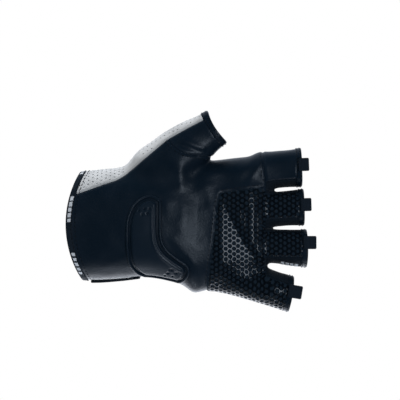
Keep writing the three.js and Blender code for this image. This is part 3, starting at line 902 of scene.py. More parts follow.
def flat_measure(points):
    """Length along the glove and round its tubes, for fabrics that follow them."""
    best = np.full(len(points), np.inf)
    turn = np.zeros(len(points))
    for tube in STALLS.values():
        _, angle, outside = tube.measure(points)
        nearer = np.abs(outside) < best
        best = np.where(nearer, np.abs(outside), best)
        turn = np.where(nearer, (angle + math.pi) % (2 * math.pi), turn)
    return np.stack([points[:, 0], turn * STALL_RADIUS], 1)


def panel_piece(node, material):
    """The finished wall of one panel, closed by its lining and by a rim round its edge."""
    part = panels()[node]
    count = len(part["points"])
    faces = part["faces"]
    start, end = boundary(faces).T
    upper = np.stack([end, start, start + count], 1)
    lower = np.stack([end, start + count, end + count], 1)
    rim = np.vstack([upper, lower])
    every = np.vstack([faces, faces[:, ::-1] + count, rim])
    slots = np.repeat([0, 1, 0], [len(faces), len(faces), len(rim)])
    points = np.vstack([part["points"], part["inner"]])
    flat = np.tile(flat_measure(part["points"]), (2, 1))
    edge = np.tile(part["edge"], 2)
    materials = [material, brushed_lining()]
    return mesh_object(node + "_panel", points, every, materials, slots, flat[every], edge)


def walked(points, closed=False):
    """Length along a line of points, from 0 at its first point."""
    back = {"append": points[:1]} if closed else {}
    steps = np.linalg.norm(np.diff(points, axis=0, **back), axis=1)
    return np.concatenate([[0], np.cumsum(steps)])


def stitch_rows(name, rows):
    """Sewing thread as one joined mesh, a small sunken capsule for each stitch."""
    half, radius = mm("stitch") / 2, mm("thread") / 2
    pitch = mm("stitch") + mm("stitch_gap")
    along, wide = STITCH_ALONG, STITCH_WIDE
    turn = np.linspace(0, 2 * math.pi, STITCH_SIDES, endpoint=False)
    points, faces, count = [], [], 0
    ring = grid_faces(len(along), STITCH_SIDES, wrap=True)
    last = (len(along) - 1) * STITCH_SIDES
    caps = [list(range(STITCH_SIDES))[::-1], list(range(last, last + STITCH_SIDES))]
    for places, normals in rows:
        length = walked(places)
        for at in np.arange(pitch / 2, length[-1] - pitch / 2, pitch):
            centre, before, after, up = (
                np.array([np.interp(s, length, source[:, k]) for k in range(3)])
                for s, source in ((at, places), (at - half, places), (at + half, places), (at, normals))
            )
            forward, up = unit(after - before), unit(up)
            side = np.cross(forward, up)
            stitch = (
                centre
                + along[:, None, None] * half * forward
                + wide[:, None, None] * radius
                * (np.cos(turn)[None, :, None] * side + np.sin(turn)[None, :, None] * up)
                + (STITCH_PROUD - STITCH_SINK * along[:, None, None] ** 4) * up
            )
            points.append(stitch.reshape(-1, 3))
            faces += (ring + count).tolist() + [[count + i for i in cap] for cap in caps]
            count += len(points[-1])
    return mesh_object(name, np.vstack(points), faces, [bonded_thread()])


def node(tree, kind, inputs=None, **settings):
    """Adds a shader node with its settings, and fills or links its inputs."""
    made = tree.nodes.new("ShaderNode" + kind)
    for name, value in settings.items():
        setattr(made, name, value)
    for name, value in (inputs or {}).items():
        if isinstance(value, bpy.types.NodeSocket):
            tree.links.new(value, made.inputs[name])
        else:
            made.inputs[name].default_value = value
    return made


def new_material(name, **values):
    """A material with a Principled surface, its object coordinates and constants set on sockets."""
    material = bpy.data.materials.new(name)
    material.use_nodes = True
    tree = material.node_tree
    surface = tree.nodes["Principled BSDF"]
    for socket, value in values.items():
        surface.inputs[socket.replace("_", " ")].default_value = value
    place = node(tree, "TexCoord").outputs["Object"]
    return material, tree, surface, place


def per(size):
    """Texture scale for a repeat of this many millimetres over object coordinates in metres."""
    return 1 / (size * MM)


def ripple(size):
    """Wave texture scale for one wave in this length."""
    return math.pi / 10 / size


def shade_between(tree, surface, factor, first, second):
    """Colours a surface between two colours by a factor."""
    mixed = node(tree, "MixRGB", {"Fac": factor, "Color1": first, "Color2": second})
    tree.links.new(mixed.outputs["Color"], surface.inputs["Base Color"])
    return mixed.outputs["Color"]


def roughened(tree, surface, factor, low, high):
    """Roughness from low to high by a factor."""
    ranged = node(tree, "MapRange", {"Value": factor, "To Min": low, "To Max": high})
    tree.links.new(ranged.outputs["Result"], surface.inputs["Roughness"])


def bumped(tree, surface, layers):
    """Relief from layers of (height socket, depth in millimetres), one on the other."""
    normal = None
    for height, depth in layers:
        inputs = {"Height": height, "Distance": depth * MM, "Strength": 1.0}
        if normal is not None:
            inputs["Normal"] = normal
        normal = node(tree, "Bump", inputs).outputs["Normal"]
    tree.links.new(normal, surface.inputs["Normal"])


@functools.cache
def goat_leather():
    """Goat leather, drum dyed and plated smooth: near black, with a broad soft sheen broken by
    fine pebbled grain and by shallow stretch lines."""
    material, tree, surface, place = new_material("goat_leather_dyed", IOR=1.45, Specular_IOR_Level=0.18)
    # Real grain is about 0.5 mm wide. It is drawn at 0.9 mm, the finest that the image holds.
    grain = node(tree, "TexVoronoi", {"Vector": place, "Scale": per(0.9)}, feature="SMOOTH_F1")
    cloudy = node(tree, "TexNoise", {"Vector": place, "Scale": per(14), "Detail": 3.0})
    fine = node(tree, "TexNoise", {"Vector": place, "Scale": per(2.6), "Detail": 4.0, "Roughness": 0.6})
    worn = node(tree, "Attribute", attribute_name="edge").outputs["Fac"]
    patches = node(tree, "MapRange", {"Value": cloudy.outputs["Fac"], "From Min": 0.42, "From Max": 0.75})
    rubbed = node(tree, "Math", {0: patches.outputs["Result"], 1: worn}, operation="ADD")
    softened = node(tree, "Math", {0: rubbed.outputs[0], 1: 0.45}, operation="MULTIPLY")
    shade_between(
        tree, surface, softened.outputs[0], colour("black_leather"), colour("black_leather_worn")
    )
    roughened(tree, surface, cloudy.outputs["Fac"], 0.3, 0.4)
    bumped(tree, surface, [(fine.outputs["Fac"], 0.12), (grain.outputs["Distance"], 0.05)])
    return material


@functools.cache
def perforated_leather():
    """Light grey pigmented cowhide, punched: matt and even, soiled a little where it is handled."""
    material, tree, surface, place = new_material("perforated_cowhide", IOR=1.45, Specular_IOR_Level=0.4)
    grain = node(tree, "TexVoronoi", {"Vector": place, "Scale": per(1.0)}, feature="SMOOTH_F1")
    cloudy = node(tree, "TexNoise", {"Vector": place, "Scale": per(12), "Detail": 4.0})
    worn = node(tree, "Attribute", attribute_name="edge").outputs["Fac"]
    soiled = node(tree, "MapRange", {"Value": cloudy.outputs["Fac"], "From Min": 0.45, "From Max": 0.8})
    both = node(tree, "Math", {0: soiled.outputs["Result"], 1: worn}, operation="ADD", use_clamp=True)
    shade_between(tree, surface, both.outputs[0], colour("light_leather"), colour("light_leather_soiled"))
    roughened(tree, surface, cloudy.outputs["Fac"], 0.5, 0.66)
    bumped(tree, surface, [(cloudy.outputs["Fac"], 0.2), (grain.outputs["Distance"], 0.05)])
    return material


@functools.cache
def brushed_lining():
    """Brushed polyester tricot: dull black with a faint nap."""
    material, tree, surface, place = new_material(
        "brushed_tricot", Roughness=0.95, Specular_IOR_Level=0.15, Sheen_Weight=0.15
    )
    nap = node(tree, "TexNoise", {"Vector": place, "Scale": per(1.2), "Detail": 5.0})
    shade_between(tree, surface, nap.outputs["Fac"], colour("lining"), colour("knit"))
    bumped(tree, surface, [(nap.outputs["Fac"], 0.25)])
    return material


@functools.cache
def grip_fabric():
    """Plain woven nylon under the print: a dull dark ground with a fine even thread."""
    material, tree, surface, place = new_material("woven_nylon", Specular_IOR_Level=0.12)
    # The real threads are 0.3 mm apart, drawn at 0.7 mm so that they show.
    warp = node(tree, "TexWave", {"Vector": place, "Scale": ripple(0.7 * MM)}, bands_direction="X")
    weft = node(tree, "TexWave", {"Vector": place, "Scale": ripple(0.7 * MM)}, bands_direction="Z")
    crossed = node(tree, "Math", {0: warp.outputs["Fac"], 1: weft.outputs["Fac"]}, operation="MULTIPLY")
    shade_between(tree, surface, crossed.outputs[0], colour("grip_fabric"), colour("black_leather_worn"))
    roughened(tree, surface, crossed.outputs[0], 0.8, 0.62)
    bumped(tree, surface, [(crossed.outputs[0], 0.12)])
    return material


@functools.cache
def silicone_print():
    """Screen-printed silicone: smooth and wet-looking, so its ridges catch the light as lines."""
    material, tree, surface, place = new_material("silicone_print", IOR=1.43, Specular_IOR_Level=0.2)
    worn = node(tree, "TexNoise", {"Vector": place, "Scale": per(9), "Detail": 3.0})
    shade_between(tree, surface, worn.outputs["Fac"], colour("grip_print"), colour("thread"))
    roughened(tree, surface, worn.outputs["Fac"], 0.14, 0.2)
    fine = node(tree, "TexNoise", {"Vector": place, "Scale": per(1.5), "Detail": 2.0})
    bumped(tree, surface, [(fine.outputs["Fac"], 0.03)])
    return material


def ribbed_knit(name, first, second, rib):
    """Weft-knitted nylon with elastane: dull, with ribs that run along the finger."""
    material, tree, surface, place = new_material(
        name, Specular_IOR_Level=0.12, Sheen_Weight=0.08, Sheen_Roughness=0.4
    )
    flat = node(tree, "UVMap", uv_map="flat").outputs["UV"]
    ribs = node(tree, "TexWave", {"Vector": flat, "Scale": ripple(rib)}, bands_direction="Y")
    loops = node(tree, "TexWave", {"Vector": flat, "Scale": ripple(rib * 0.8)}, bands_direction="X")
    fuzz = node(tree, "TexNoise", {"Vector": place, "Scale": per(1.0), "Detail": 4.0})
    crossed = node(tree, "Math", {0: ribs.outputs["Fac"], 1: 0.75}, operation="MULTIPLY")
    height = node(tree, "Math", {0: crossed.outputs[0], 1: loops.outputs["Fac"]}, operation="ADD")
    shade_between(tree, surface, crossed.outputs[0], colour(first), colour(second))
    roughened(tree, surface, fuzz.outputs["Fac"], 0.75, 0.95)
    bumped(tree, surface, [(height.outputs[0], 0.18), (fuzz.outputs["Fac"], 0.15)])
    return material


@functools.cache
def stretch_knit():
    """Fine rib of the finger backs."""
    return ribbed_knit("stretch_knit", "knit", "side_knit", 1.3)


@functools.cache
def rib_knit():
    """Coarser rib of the strips between the fingers."""
    return ribbed_knit("rib_knit", "knit", "side_knit", 1.6)


@functools.cache
def moulded_rubber():
    """Injection-moulded thermoplastic rubber: satin from the mould, with a very fine matt texture."""
    material, tree, surface, place = new_material("moulded_tpr", IOR=1.5, Specular_IOR_Level=0.16)
    # The mould's grit is about 0.1 mm, drawn at 0.35 mm.
    grit = node(tree, "TexNoise", {"Vector": place, "Scale": per(0.35), "Detail": 2.0})
    cloudy = node(tree, "TexNoise", {"Vector": place, "Scale": per(10), "Detail": 3.0})
    shade_between(tree, surface, cloudy.outputs["Fac"], colour("rubber"), colour("black_leather_worn"))
    roughened(tree, surface, cloudy.outputs["Fac"], 0.28, 0.36)
    bumped(tree, surface, [(grit.outputs["Fac"], 0.02)])
    return material


@functools.cache
def woven_tape():
    """Woven nylon and elastic tape: dull, ribbed across its width."""
    material, tree, surface, place = new_material("woven_tape", Specular_IOR_Level=0.12, Sheen_Weight=0.04)
    flat = node(tree, "UVMap", uv_map="flat").outputs["UV"]
    ribs = node(tree, "TexWave", {"Vector": flat, "Scale": ripple(0.9)}, bands_direction="X")
    fuzz = node(tree, "TexNoise", {"Vector": place, "Scale": per(0.8), "Detail": 3.0})
    shade_between(tree, surface, ribs.outputs["Fac"], colour("webbing"), colour("black_leather_worn"))
    roughened(tree, surface, fuzz.outputs["Fac"], 0.62, 0.85)
    bumped(tree, surface, [(ribs.outputs["Fac"], 0.12), (fuzz.outputs["Fac"], 0.1)])
    return material


@functools.cache
def dash_yarn():
    """White jacquard yarn floated on the tape: bright, dull, with the tape's ribs showing."""
    material, tree, surface, place = new_material("jacquard_yarn", Specular_IOR_Level=0.25)
    flat = node(tree, "UVMap", uv_map="flat").outputs["UV"]
    ribs = node(tree, "TexWave", {"Vector": flat, "Scale": ripple(0.9)}, bands_direction="X")
    dull = node(tree, "Math", {0: ribs.outputs["Fac"], 1: 0.3}, operation="MULTIPLY")
    shade_between(tree, surface, dull.outputs[0], colour("dash"), colour("light_leather_soiled"))
    fuzz = node(tree, "TexNoise", {"Vector": place, "Scale": per(0.8), "Detail": 3.0})
    roughened(tree, surface, fuzz.outputs["Fac"], 0.7, 0.9)
    bumped(tree, surface, [(ribs.outputs["Fac"], 0.12)])
    return material


@functools.cache
def bonded_thread():
    """Bonded polyester thread: twisted, with a slight gloss."""
    material, tree, surface, place = new_material("bonded_thread", Specular_IOR_Level=0.15)
    twist = node(tree, "TexWave", {"Vector": place, "Scale": ripple(0.5 * MM)}, bands_direction="DIAGONAL")
    shade_between(tree, surface, twist.outputs["Fac"], colour("thread"), colour("knit"))
    roughened(tree, surface, twist.outputs["Fac"], 0.4, 0.6)
    bumped(tree, surface, [(twist.outputs["Fac"], 0.08)])
    return material


def ring_band(tube, profile, sides, first=0.0, last=2 * math.pi, wobble=0.0, seed=1):
    """A band round a tube, from a closed profile of (station, offset), with its flat measures."""
    closed = abs(last - first - 2 * math.pi) < 1e-6
    turns = np.linspace(first, last, sides, endpoint=not closed)
    profile = np.array(profile, float)
    station, offset = profile[:, 0][None, :], profile[:, 1][None, :]
    points = tube.points(station, turns[:, None], offset)
    rows, columns = points.shape[:2]
    if wobble:
        middle = points.mean(1, keepdims=True)
        outward = unit(points.mean(1) - points.mean((0, 1)))
        uneven = wobble * unevenness(middle[:, 0], HEM_BUMP, seed)
        points = points + uneven[:, None, None] * outward[:, None]
    faces = grid_faces(rows, columns, wrap=True, wrap_rows=closed)
    walk = np.linalg.norm(np.diff(points[:, :1], axis=0, append=points[:1, :1]), axis=2)[:, 0]
    round_tube = np.concatenate([[0], np.cumsum(walk)])
    return points, faces, corner_flats(faces, columns, round_tube, walked(profile, closed=True))


def corner_flats(faces, columns, by_row, by_column):
    """Flat measures at the four corners of each face of a grid."""
    i, j = faces[:, 0] // columns, faces[:, 0] % columns
    corners = [(i, j), (i + 1, j), (i + 1, j + 1), (i, j + 1)]
    return np.stack([np.stack([by_row[a], by_column[b]], -1) for a, b in corners], 1)


def band_profile(start, end, outer, inner, round_off=0.5, crown=0.0):
    """A closed, rounded profile of (station, offset) for a band from start to end."""
    across = np.linspace(start + round_off, end - round_off, 7)
    swell = crown * (1 - ((across - (start + end) / 2) / ((end - start) / 2)) ** 2)
    quarter = np.radians([22.5, 45, 67.5])
    r = round_off
    corners = [(end - r + r * math.sin(a), outer - r + r * math.cos(a)) for a in quarter]
    corners += [(end, outer - r), (end, inner + r)]
    corners += [(end - r + r * math.cos(a), inner + r - r * math.sin(a)) for a in quarter]
    back = [(s, inner) for s in across[::-1]]
    ends = [(start + r - r * math.sin(a), inner + r - r * math.cos(a)) for a in quarter]
    ends += [(start, inner + r), (start, outer - r)]
    ends += [(start + r - r * math.cos(a), outer - r + r * math.sin(a)) for a in quarter]
    return list(zip(across, outer + swell)) + corners + back + ends


def solid_of_object(name, points, faces):
    """A plain helper mesh for a cut, not shown."""
    mesh = bpy.data.meshes.new(name)
    mesh.from_pydata((points * MM).tolist(), [], faces)
    holder = bpy.data.objects.new(name, mesh)
    bpy.context.scene.collection.objects.link(holder)
    return holder


def perforate(piece, places, normals, radius):
    """Cuts a round hole through a wall at each place."""
    sides = PUNCH_SIDES
    turn = np.linspace(0, 2 * math.pi, sides, endpoint=False)
    side = unit(np.cross(normals, [1.0, 0.0, 0.05]))  # near X, but never along a normal
    other = np.cross(normals, side)
    ring = np.cos(turn)[None, :, None] * side[:, None] + np.sin(turn)[None, :, None] * other[:, None]
    top = places[:, None] + ring * radius + normals[:, None] * PUNCH_PROUD
    low = top - normals[:, None] * (mm("wall") + PUNCH_SPARE)
    points = np.concatenate([top, low], 1).reshape(-1, 3)
    faces = []
    walls = [[k, sides + k, sides + (k + 1) % sides, (k + 1) % sides] for k in range(sides)]
    pattern = [list(range(sides)), list(range(sides, 2 * sides))[::-1]] + walls
    for i in range(len(places)):
        faces += [[i * 2 * sides + k for k in face] for face in pattern]
    cutter = solid_of_object("punch", points, faces)
    holes = piece.modifiers.new("holes", "BOOLEAN")
    holes.operation = "DIFFERENCE"
    holes.solver = "MANIFOLD"
    holes.object = cutter
    depsgraph = bpy.context.evaluated_depsgraph_get()
    made = bpy.data.meshes.new_from_object(piece.evaluated_get(depsgraph))
    piece.modifiers.clear()
    piece.vertex_groups.clear()
    piece.data = made
    bpy.data.objects.remove(cutter)


class GLOVE_OT_leather(bpy.types.Operator):
    """Palm, thumb and index panels of black leather"""

    bl_idname = "glove.leather"
    bl_label = "Black leather panels"

    def execute(self, context):
        for name in ("palm_leather", "thumb_leather", "index_leather"):
            fitted(panel_piece(name, goat_leather()), "black_leather", name)
        return {"FINISHED"}


class GLOVE_OT_grip(bpy.types.Operator):
    """Grip panel of woven fabric with its raised print"""

    bl_idname = "glove.grip"
    bl_label = "Grip panel"

    def execute(self, context):
        fitted(panel_piece("grip_fabric", grip_fabric()), "grip_fabric", "grip_fabric")
        fitted(grip_print_mesh(), "grip_fabric")
        return {"FINISHED"}


def lattice(x0, x1, v0, v1, column, pitch):
    """Centres of a staggered lattice."""
    xs = np.arange(x0, x1, column)
    vs = np.arange(v0, v1, pitch)
    x, v = np.meshgrid(xs, vs, indexing="ij")
    v = v + (np.arange(len(xs)) % 2)[:, None] * pitch / 2
    return np.stack([x.ravel(), v.ravel()], 1)


def grip_print_mesh():
    """The print: a net of ridges with a round hole in each cell, laid on the fabric."""
    pitch, column, hole, height = mm("cell_pitch"), mm("cell_column"), mm("cell_hole"), mm("cell_height")
    centres = lattice(*PRINT_AREA, column, pitch)
    squeeze = column / (pitch * math.sqrt(3) / 2)
    sides = PRINT_SIDES
    turn = np.linspace(0, 2 * math.pi, sides, endpoint=False)
    border = pitch / 2 / np.cos(turn % (math.pi / 3) - math.pi / 6)
    around = np.ones(sides) * hole / 2
    # Flat lands with a small round edge, so that a land mirrors the light only where it lies right
    edge = PRINT_EDGE + [(PRINT_FOOT[0], -height + PRINT_FOOT[1])]
    rings = [(border, height)] + [(around + out, height + down) for out, down in edge]
    charts = {"hand": Chart(HAND, PALM_TURN, 70, 140)}
    charts.update({
        name: Chart(STALLS[name], PALM_TURN, int(STALLS[name].start), 170, reach=34)
        for name in ("middle", "ring", "little")
    })
    owner = np.full(len(centres), 1)
    lines = STRIP_LINES
    between = [("middle_low", "ring_top"), ("ring_low", "little_top")]
    for k, (low, top) in enumerate(between):
        (x0, a0), (x1, a1) = lines[low]
        (_, b0), (_, b1) = lines[top]
        share = (centres[:, 0] - x0) / (x1 - x0)
        middle = ((a0 + b0) + share * (a1 + b1 - a0 - b0)) / 2
        owner = np.where(centres[:, 1] < middle, k + 2, owner)
    names = ["hand", "middle", "ring", "little"]
    tree = grip_tree()
    points, faces, heights, count = [], [], [], 0
    for k in (1, 2, 3):
        mine = centres[owner == k]
        round_cell = np.stack([squeeze * np.cos(turn), np.sin(turn)], 1)
        flat = np.stack([mine[:, None] + radius[:, None] * round_cell for radius, _ in rings], 1)
        x, v = flat[..., 0].ravel(), flat[..., 1].ravel()
        on_hand = charts["hand"].place(x, v)
        on_stall = charts[names[k]].place(x, v)
        blend = ease((x - PRINT_CHANGE) / PRINT_CHANGE_WIDE)[:, None]
        base = on_hand * (1 - blend) + on_stall * blend
        high = np.tile(np.repeat([h for _, h in rings], sides), len(mine))
        placed, _ = settled(base, high, tree)
        moved = np.linalg.norm(placed - base, axis=1).reshape(len(mine), -1).max(1)
        points.append(placed)
        ring_faces = grid_faces(len(rings), sides, wrap=True)
        for i in np.flatnonzero(moved < PRINT_STRAY):
            faces.append(ring_faces + count + i * len(rings) * sides)
        count += len(placed)
    faces = np.vstack(faces)
    triangles = np.vstack([faces[:, [0, 2, 1]], faces[:, [0, 3, 2]]])
    data, triangles = compacted(np.vstack(points), triangles)
    outline, depth = panel_outlines()["grip_fabric"]
    field = np.maximum(panel_field(data, outline, depth) + PRINT_RIM, end_field(data))
    data, triangles = cut(data, triangles, field)[0]
    return mesh_object("grip_print", data, triangles, [silicone_print()])


@functools.cache
def grip_tree():
    """Finds places on the grip fabric."""
    part = panels()["grip_fabric"]
    return BVHTree.FromPolygons(part["points"].tolist(), part["faces"].tolist())


class GLOVE_OT_sides(bpy.types.Operator):
    """Ribbed strips between the fingers"""

    bl_idname = "glove.sides"
    bl_label = "Side strips"

    def execute(self, context):
        for name in ("index_middle_side", "middle_ring_side", "ring_little_side"):
            fitted(panel_piece(name, rib_knit()), "side_knit", name)
        fitted(strip_dashes_mesh(), "side_knit")
        return {"FINISHED"}


# Plain dashes woven into the strip on the ring stall's little-finger side: the stations that they
# run between, the length of one and the gap after it, and the section angles of their edges
STRIP_DASHES = (138.8, 151.0)
STRIP_DASH_LONG, STRIP_DASH_GAP = 2.3, 0.8
STRIP_DASH_TURNS = (-math.radians(146), -math.radians(178))
STRIP_DASH_FOOT, STRIP_DASH_TOP = -0.3, 0.2  # heights of its underside and its top on the strip


def strip_dashes_mesh():
    """Plain dashes as thin blocks that stand a little out of the strip."""
    tree = dressed_tree()
    turns = np.linspace(*STRIP_DASH_TURNS, 6)
    points, faces = [], []
    for start in np.arange(*STRIP_DASHES, STRIP_DASH_LONG + STRIP_DASH_GAP):
        stations = start + np.array([0, 0, STRIP_DASH_LONG, STRIP_DASH_LONG])
        block = STALLS["ring"].points(stations[None, :], turns[:, None]).reshape(-1, 3)
        heights = [STRIP_DASH_FOOT, STRIP_DASH_TOP, STRIP_DASH_TOP, STRIP_DASH_FOOT]
        placed, _ = settled(block, np.tile(heights, len(turns)), tree)
        first = sum(map(len, points))
        last = first + len(placed) - 4
        faces += (grid_faces(len(turns), 4, wrap=True) + first).tolist()
        faces += [[first, first + 1, first + 2, first + 3], [last + 3, last + 2, last + 1, last]]
        points.append(placed)
    flat = np.vstack(points)[:, :2]
    flat = [flat[corner] for face in faces for corner in face]
    return mesh_object("strip_dashes", np.vstack(points), faces, [dash_yarn()], None, flat)


class GLOVE_OT_finger_backs(bpy.types.Operator):
    """Stretch knit on the backs of the fingers"""

    bl_idname = "glove.finger_backs"
    bl_label = "Finger backs"

    def execute(self, context):
        for name in FINGER_BACKS:
            fitted(panel_piece(name, stretch_knit()), "black_knit", name)
        return {"FINISHED"}


class GLOVE_OT_back(bpy.types.Operator):
    """Perforated leather over the back of the hand, the wrist and the thumb"""

    bl_idname = "glove.back"
    bl_label = "Perforated back"

    def execute(self, context):
        piece = panel_piece("back_leather", perforated_leather())
        thin_lining(piece, panels()["back_leather"])
        places, normals = punched_places()
        perforate(piece, places, normals, mm("hole_width") / 2)
        fitted(piece, "light_leather", "back_leather")
        return {"FINISHED"}


# Share of the panel's triangles that stay when its hidden lining side is drawn more coarsely
LINING_SHARE = 0.6


def thin_lining(piece, part):
    """Larger triangles on the lining side of a panel, away from its rim, before it is punched."""
    count = len(part["points"])
    inside = np.setdiff1d(np.arange(count), boundary(part["faces"])) + count
    hidden = piece.vertex_groups.new(name="lining")
    hidden.add(inside.tolist(), 1.0, "REPLACE")
    thin = piece.modifiers.new("thin", "DECIMATE")
    thin.ratio = LINING_SHARE
    thin.vertex_group = hidden.name


def punched_places():
    """Where the back leather is punched: a staggered lattice on the hand and on the thumb."""
    part = panels()["back_leather"]
    tree = BVHTree.FromPolygons(part["points"].tolist(), part["faces"].tolist())
    edges = boundary(part["faces"])
    line = part["points"][edges[:, 0]]
    rim = KDTree(len(line))
    for i, p in enumerate(line):
        rim.insert(p, i)
    rim.balance()
    pitch, row = mm("hole_pitch"), mm("hole_row")
    places, normals = [], []
    thumb = STALLS["thumb"]
    for tube, other, last in ((HAND, thumb, HOLES_END["hand"]), (thumb, HAND, HOLES_END["thumb"])):
        chart = Chart(tube, BACK_TURN, int(tube.start) - 8, int(tube.end) + 2)
        spots = lattice(tube.start - 6, last, -HOLES_ROUND, HOLES_ROUND, row, pitch)
        base = chart.place(spots[:, 0], spots[:, 1])
        _, _, outside = other.measure(base)
        for p in base[outside > 0.5]:
            where, normal, _, away = tree.find_nearest(p)
            if away < HOLE_STRAY and rim.find(where)[2] > HOLE_RIM:
                places.append(where)
                normals.append(normal)
    return np.array(places), np.array(normals)


class GLOVE_OT_edges(bpy.types.Operator):
    """Wrist binding and the turned hem of each stall"""

    bl_idname = "glove.edges"
    bl_label = "Binding and hems"

    def execute(self, context):
        end = BINDING_START + BINDING_WIDTH
        profile = band_profile(BINDING_START, end, BINDING_PROUD, *BINDING_BAND)
        points, faces, flat = ring_band(
            HAND, profile, BINDING_POINTS, PALM_TURN - math.pi, PALM_TURN + math.pi
        )
        slots = dash_slots(points, faces)
        binding = mesh_object(
            "cuff_binding_tape", points.reshape(-1, 3), faces, [woven_tape(), dash_yarn()], slots, flat
        )
        fitted(binding, "webbing", "cuff_binding")
        for i, (name, tube) in enumerate(STALLS.items()):
            profile = band_profile(tube.end - HEM_WIDTH, tube.end, HEM_PROUD, *HEM_BAND)
            points, faces, flat = ring_band(tube, profile, HEM_POINTS, wobble=HEM_WOBBLE, seed=i + 5)
            hem = mesh_object(
                name + "_hem_band", points.reshape(-1, 3), faces, [goat_leather()], None, flat
            )
            fitted(hem, "black_leather", name + "_hem")
        return {"FINISHED"}


def dash_slots(points, faces):
    """1 for the faces of the binding that carry a plain woven dash."""
    rows, columns = points.shape[:2]
    outer = points[:, 3]
    walk = np.linalg.norm(np.diff(outer, axis=0, append=outer[:1]), axis=1)
    along = np.cumsum(walk) - walk
    anchor = along[np.argmin(np.abs(outer[:, 2] - DASH_START) + 99 * (outer[:, 1] > 0))]
    i, j = faces[:, 0] // columns, faces[:, 0] % columns
    place = (anchor - along[i]) % DASH_REPEAT
    dashed = (place < DASH_GROUP) & (place % (DASH_LONG + DASH_GAP) < DASH_LONG)
    return (dashed & (j >= 1) & (j <= 4)).astype(int)


# Plain dashes on the binding: where the first group starts on the palm side, the repeat of the
# groups, the length of a group, and the length of a dash and of the gap after it
DASH_START, DASH_REPEAT, DASH_GROUP, DASH_LONG, DASH_GAP = 19.7, 38.0, 18.0, 2.6, 1.2


class GLOVE_OT_pad(bpy.types.Operator):
    """Moulded rubber pad on the heel of the palm, with its raised rim"""

    bl_idname = "glove.pad"
    bl_label = "Palm pad"

    def execute(self, context):
        rim, core = pad_meshes()
        fitted(rim, "pad_rubber", "pad_rim")
        fitted(core, "pad_rubber", "palm_pad")
        return {"FINISHED"}


def inset(outline, distance):
    """A closed outline moved in by a distance, which may vary along it."""
    along = np.roll(outline, -1, axis=0) - np.roll(outline, 1, axis=0)
    normal = unit(np.stack([along[:, 1], -along[:, 0]], 1))
    after = np.roll(outline, -1, axis=0)
    area = np.sum(outline[:, 0] * after[:, 1] - after[:, 0] * outline[:, 1])
    return outline - np.sign(area) * normal * np.reshape(distance, (-1, 1))


def evenly(outline, count):
    """A closed outline with its points spread evenly."""
    closed = np.vstack([outline, outline[:1]])
    length = walked(closed)
    at = np.linspace(0, length[-1], count, endpoint=False)
    return np.stack([np.interp(at, length, closed[:, k]) for k in range(2)], 1)


def relief(loops, inner, keep):
    """Triangles through nested closed loops and loose points, kept where a test says so."""
    points = np.vstack(loops + [inner]) if len(inner) else np.vstack(loops)
    edges, count = [], 0
    for loop in loops:
        size = len(loop)
        edges += [(count + i, count + (i + 1) % size) for i in range(size)]
        count += size
    made = delaunay_2d_cdt([Vector(p) for p in points.tolist()], edges, [], 0, 1e-5)
    flat = np.array([list(p) for p in made[0]])
    faces = np.array([f for f in made[2] if len(f) == 3])
    middle = flat[faces].mean(1)
    return flat, faces[keep(middle)]


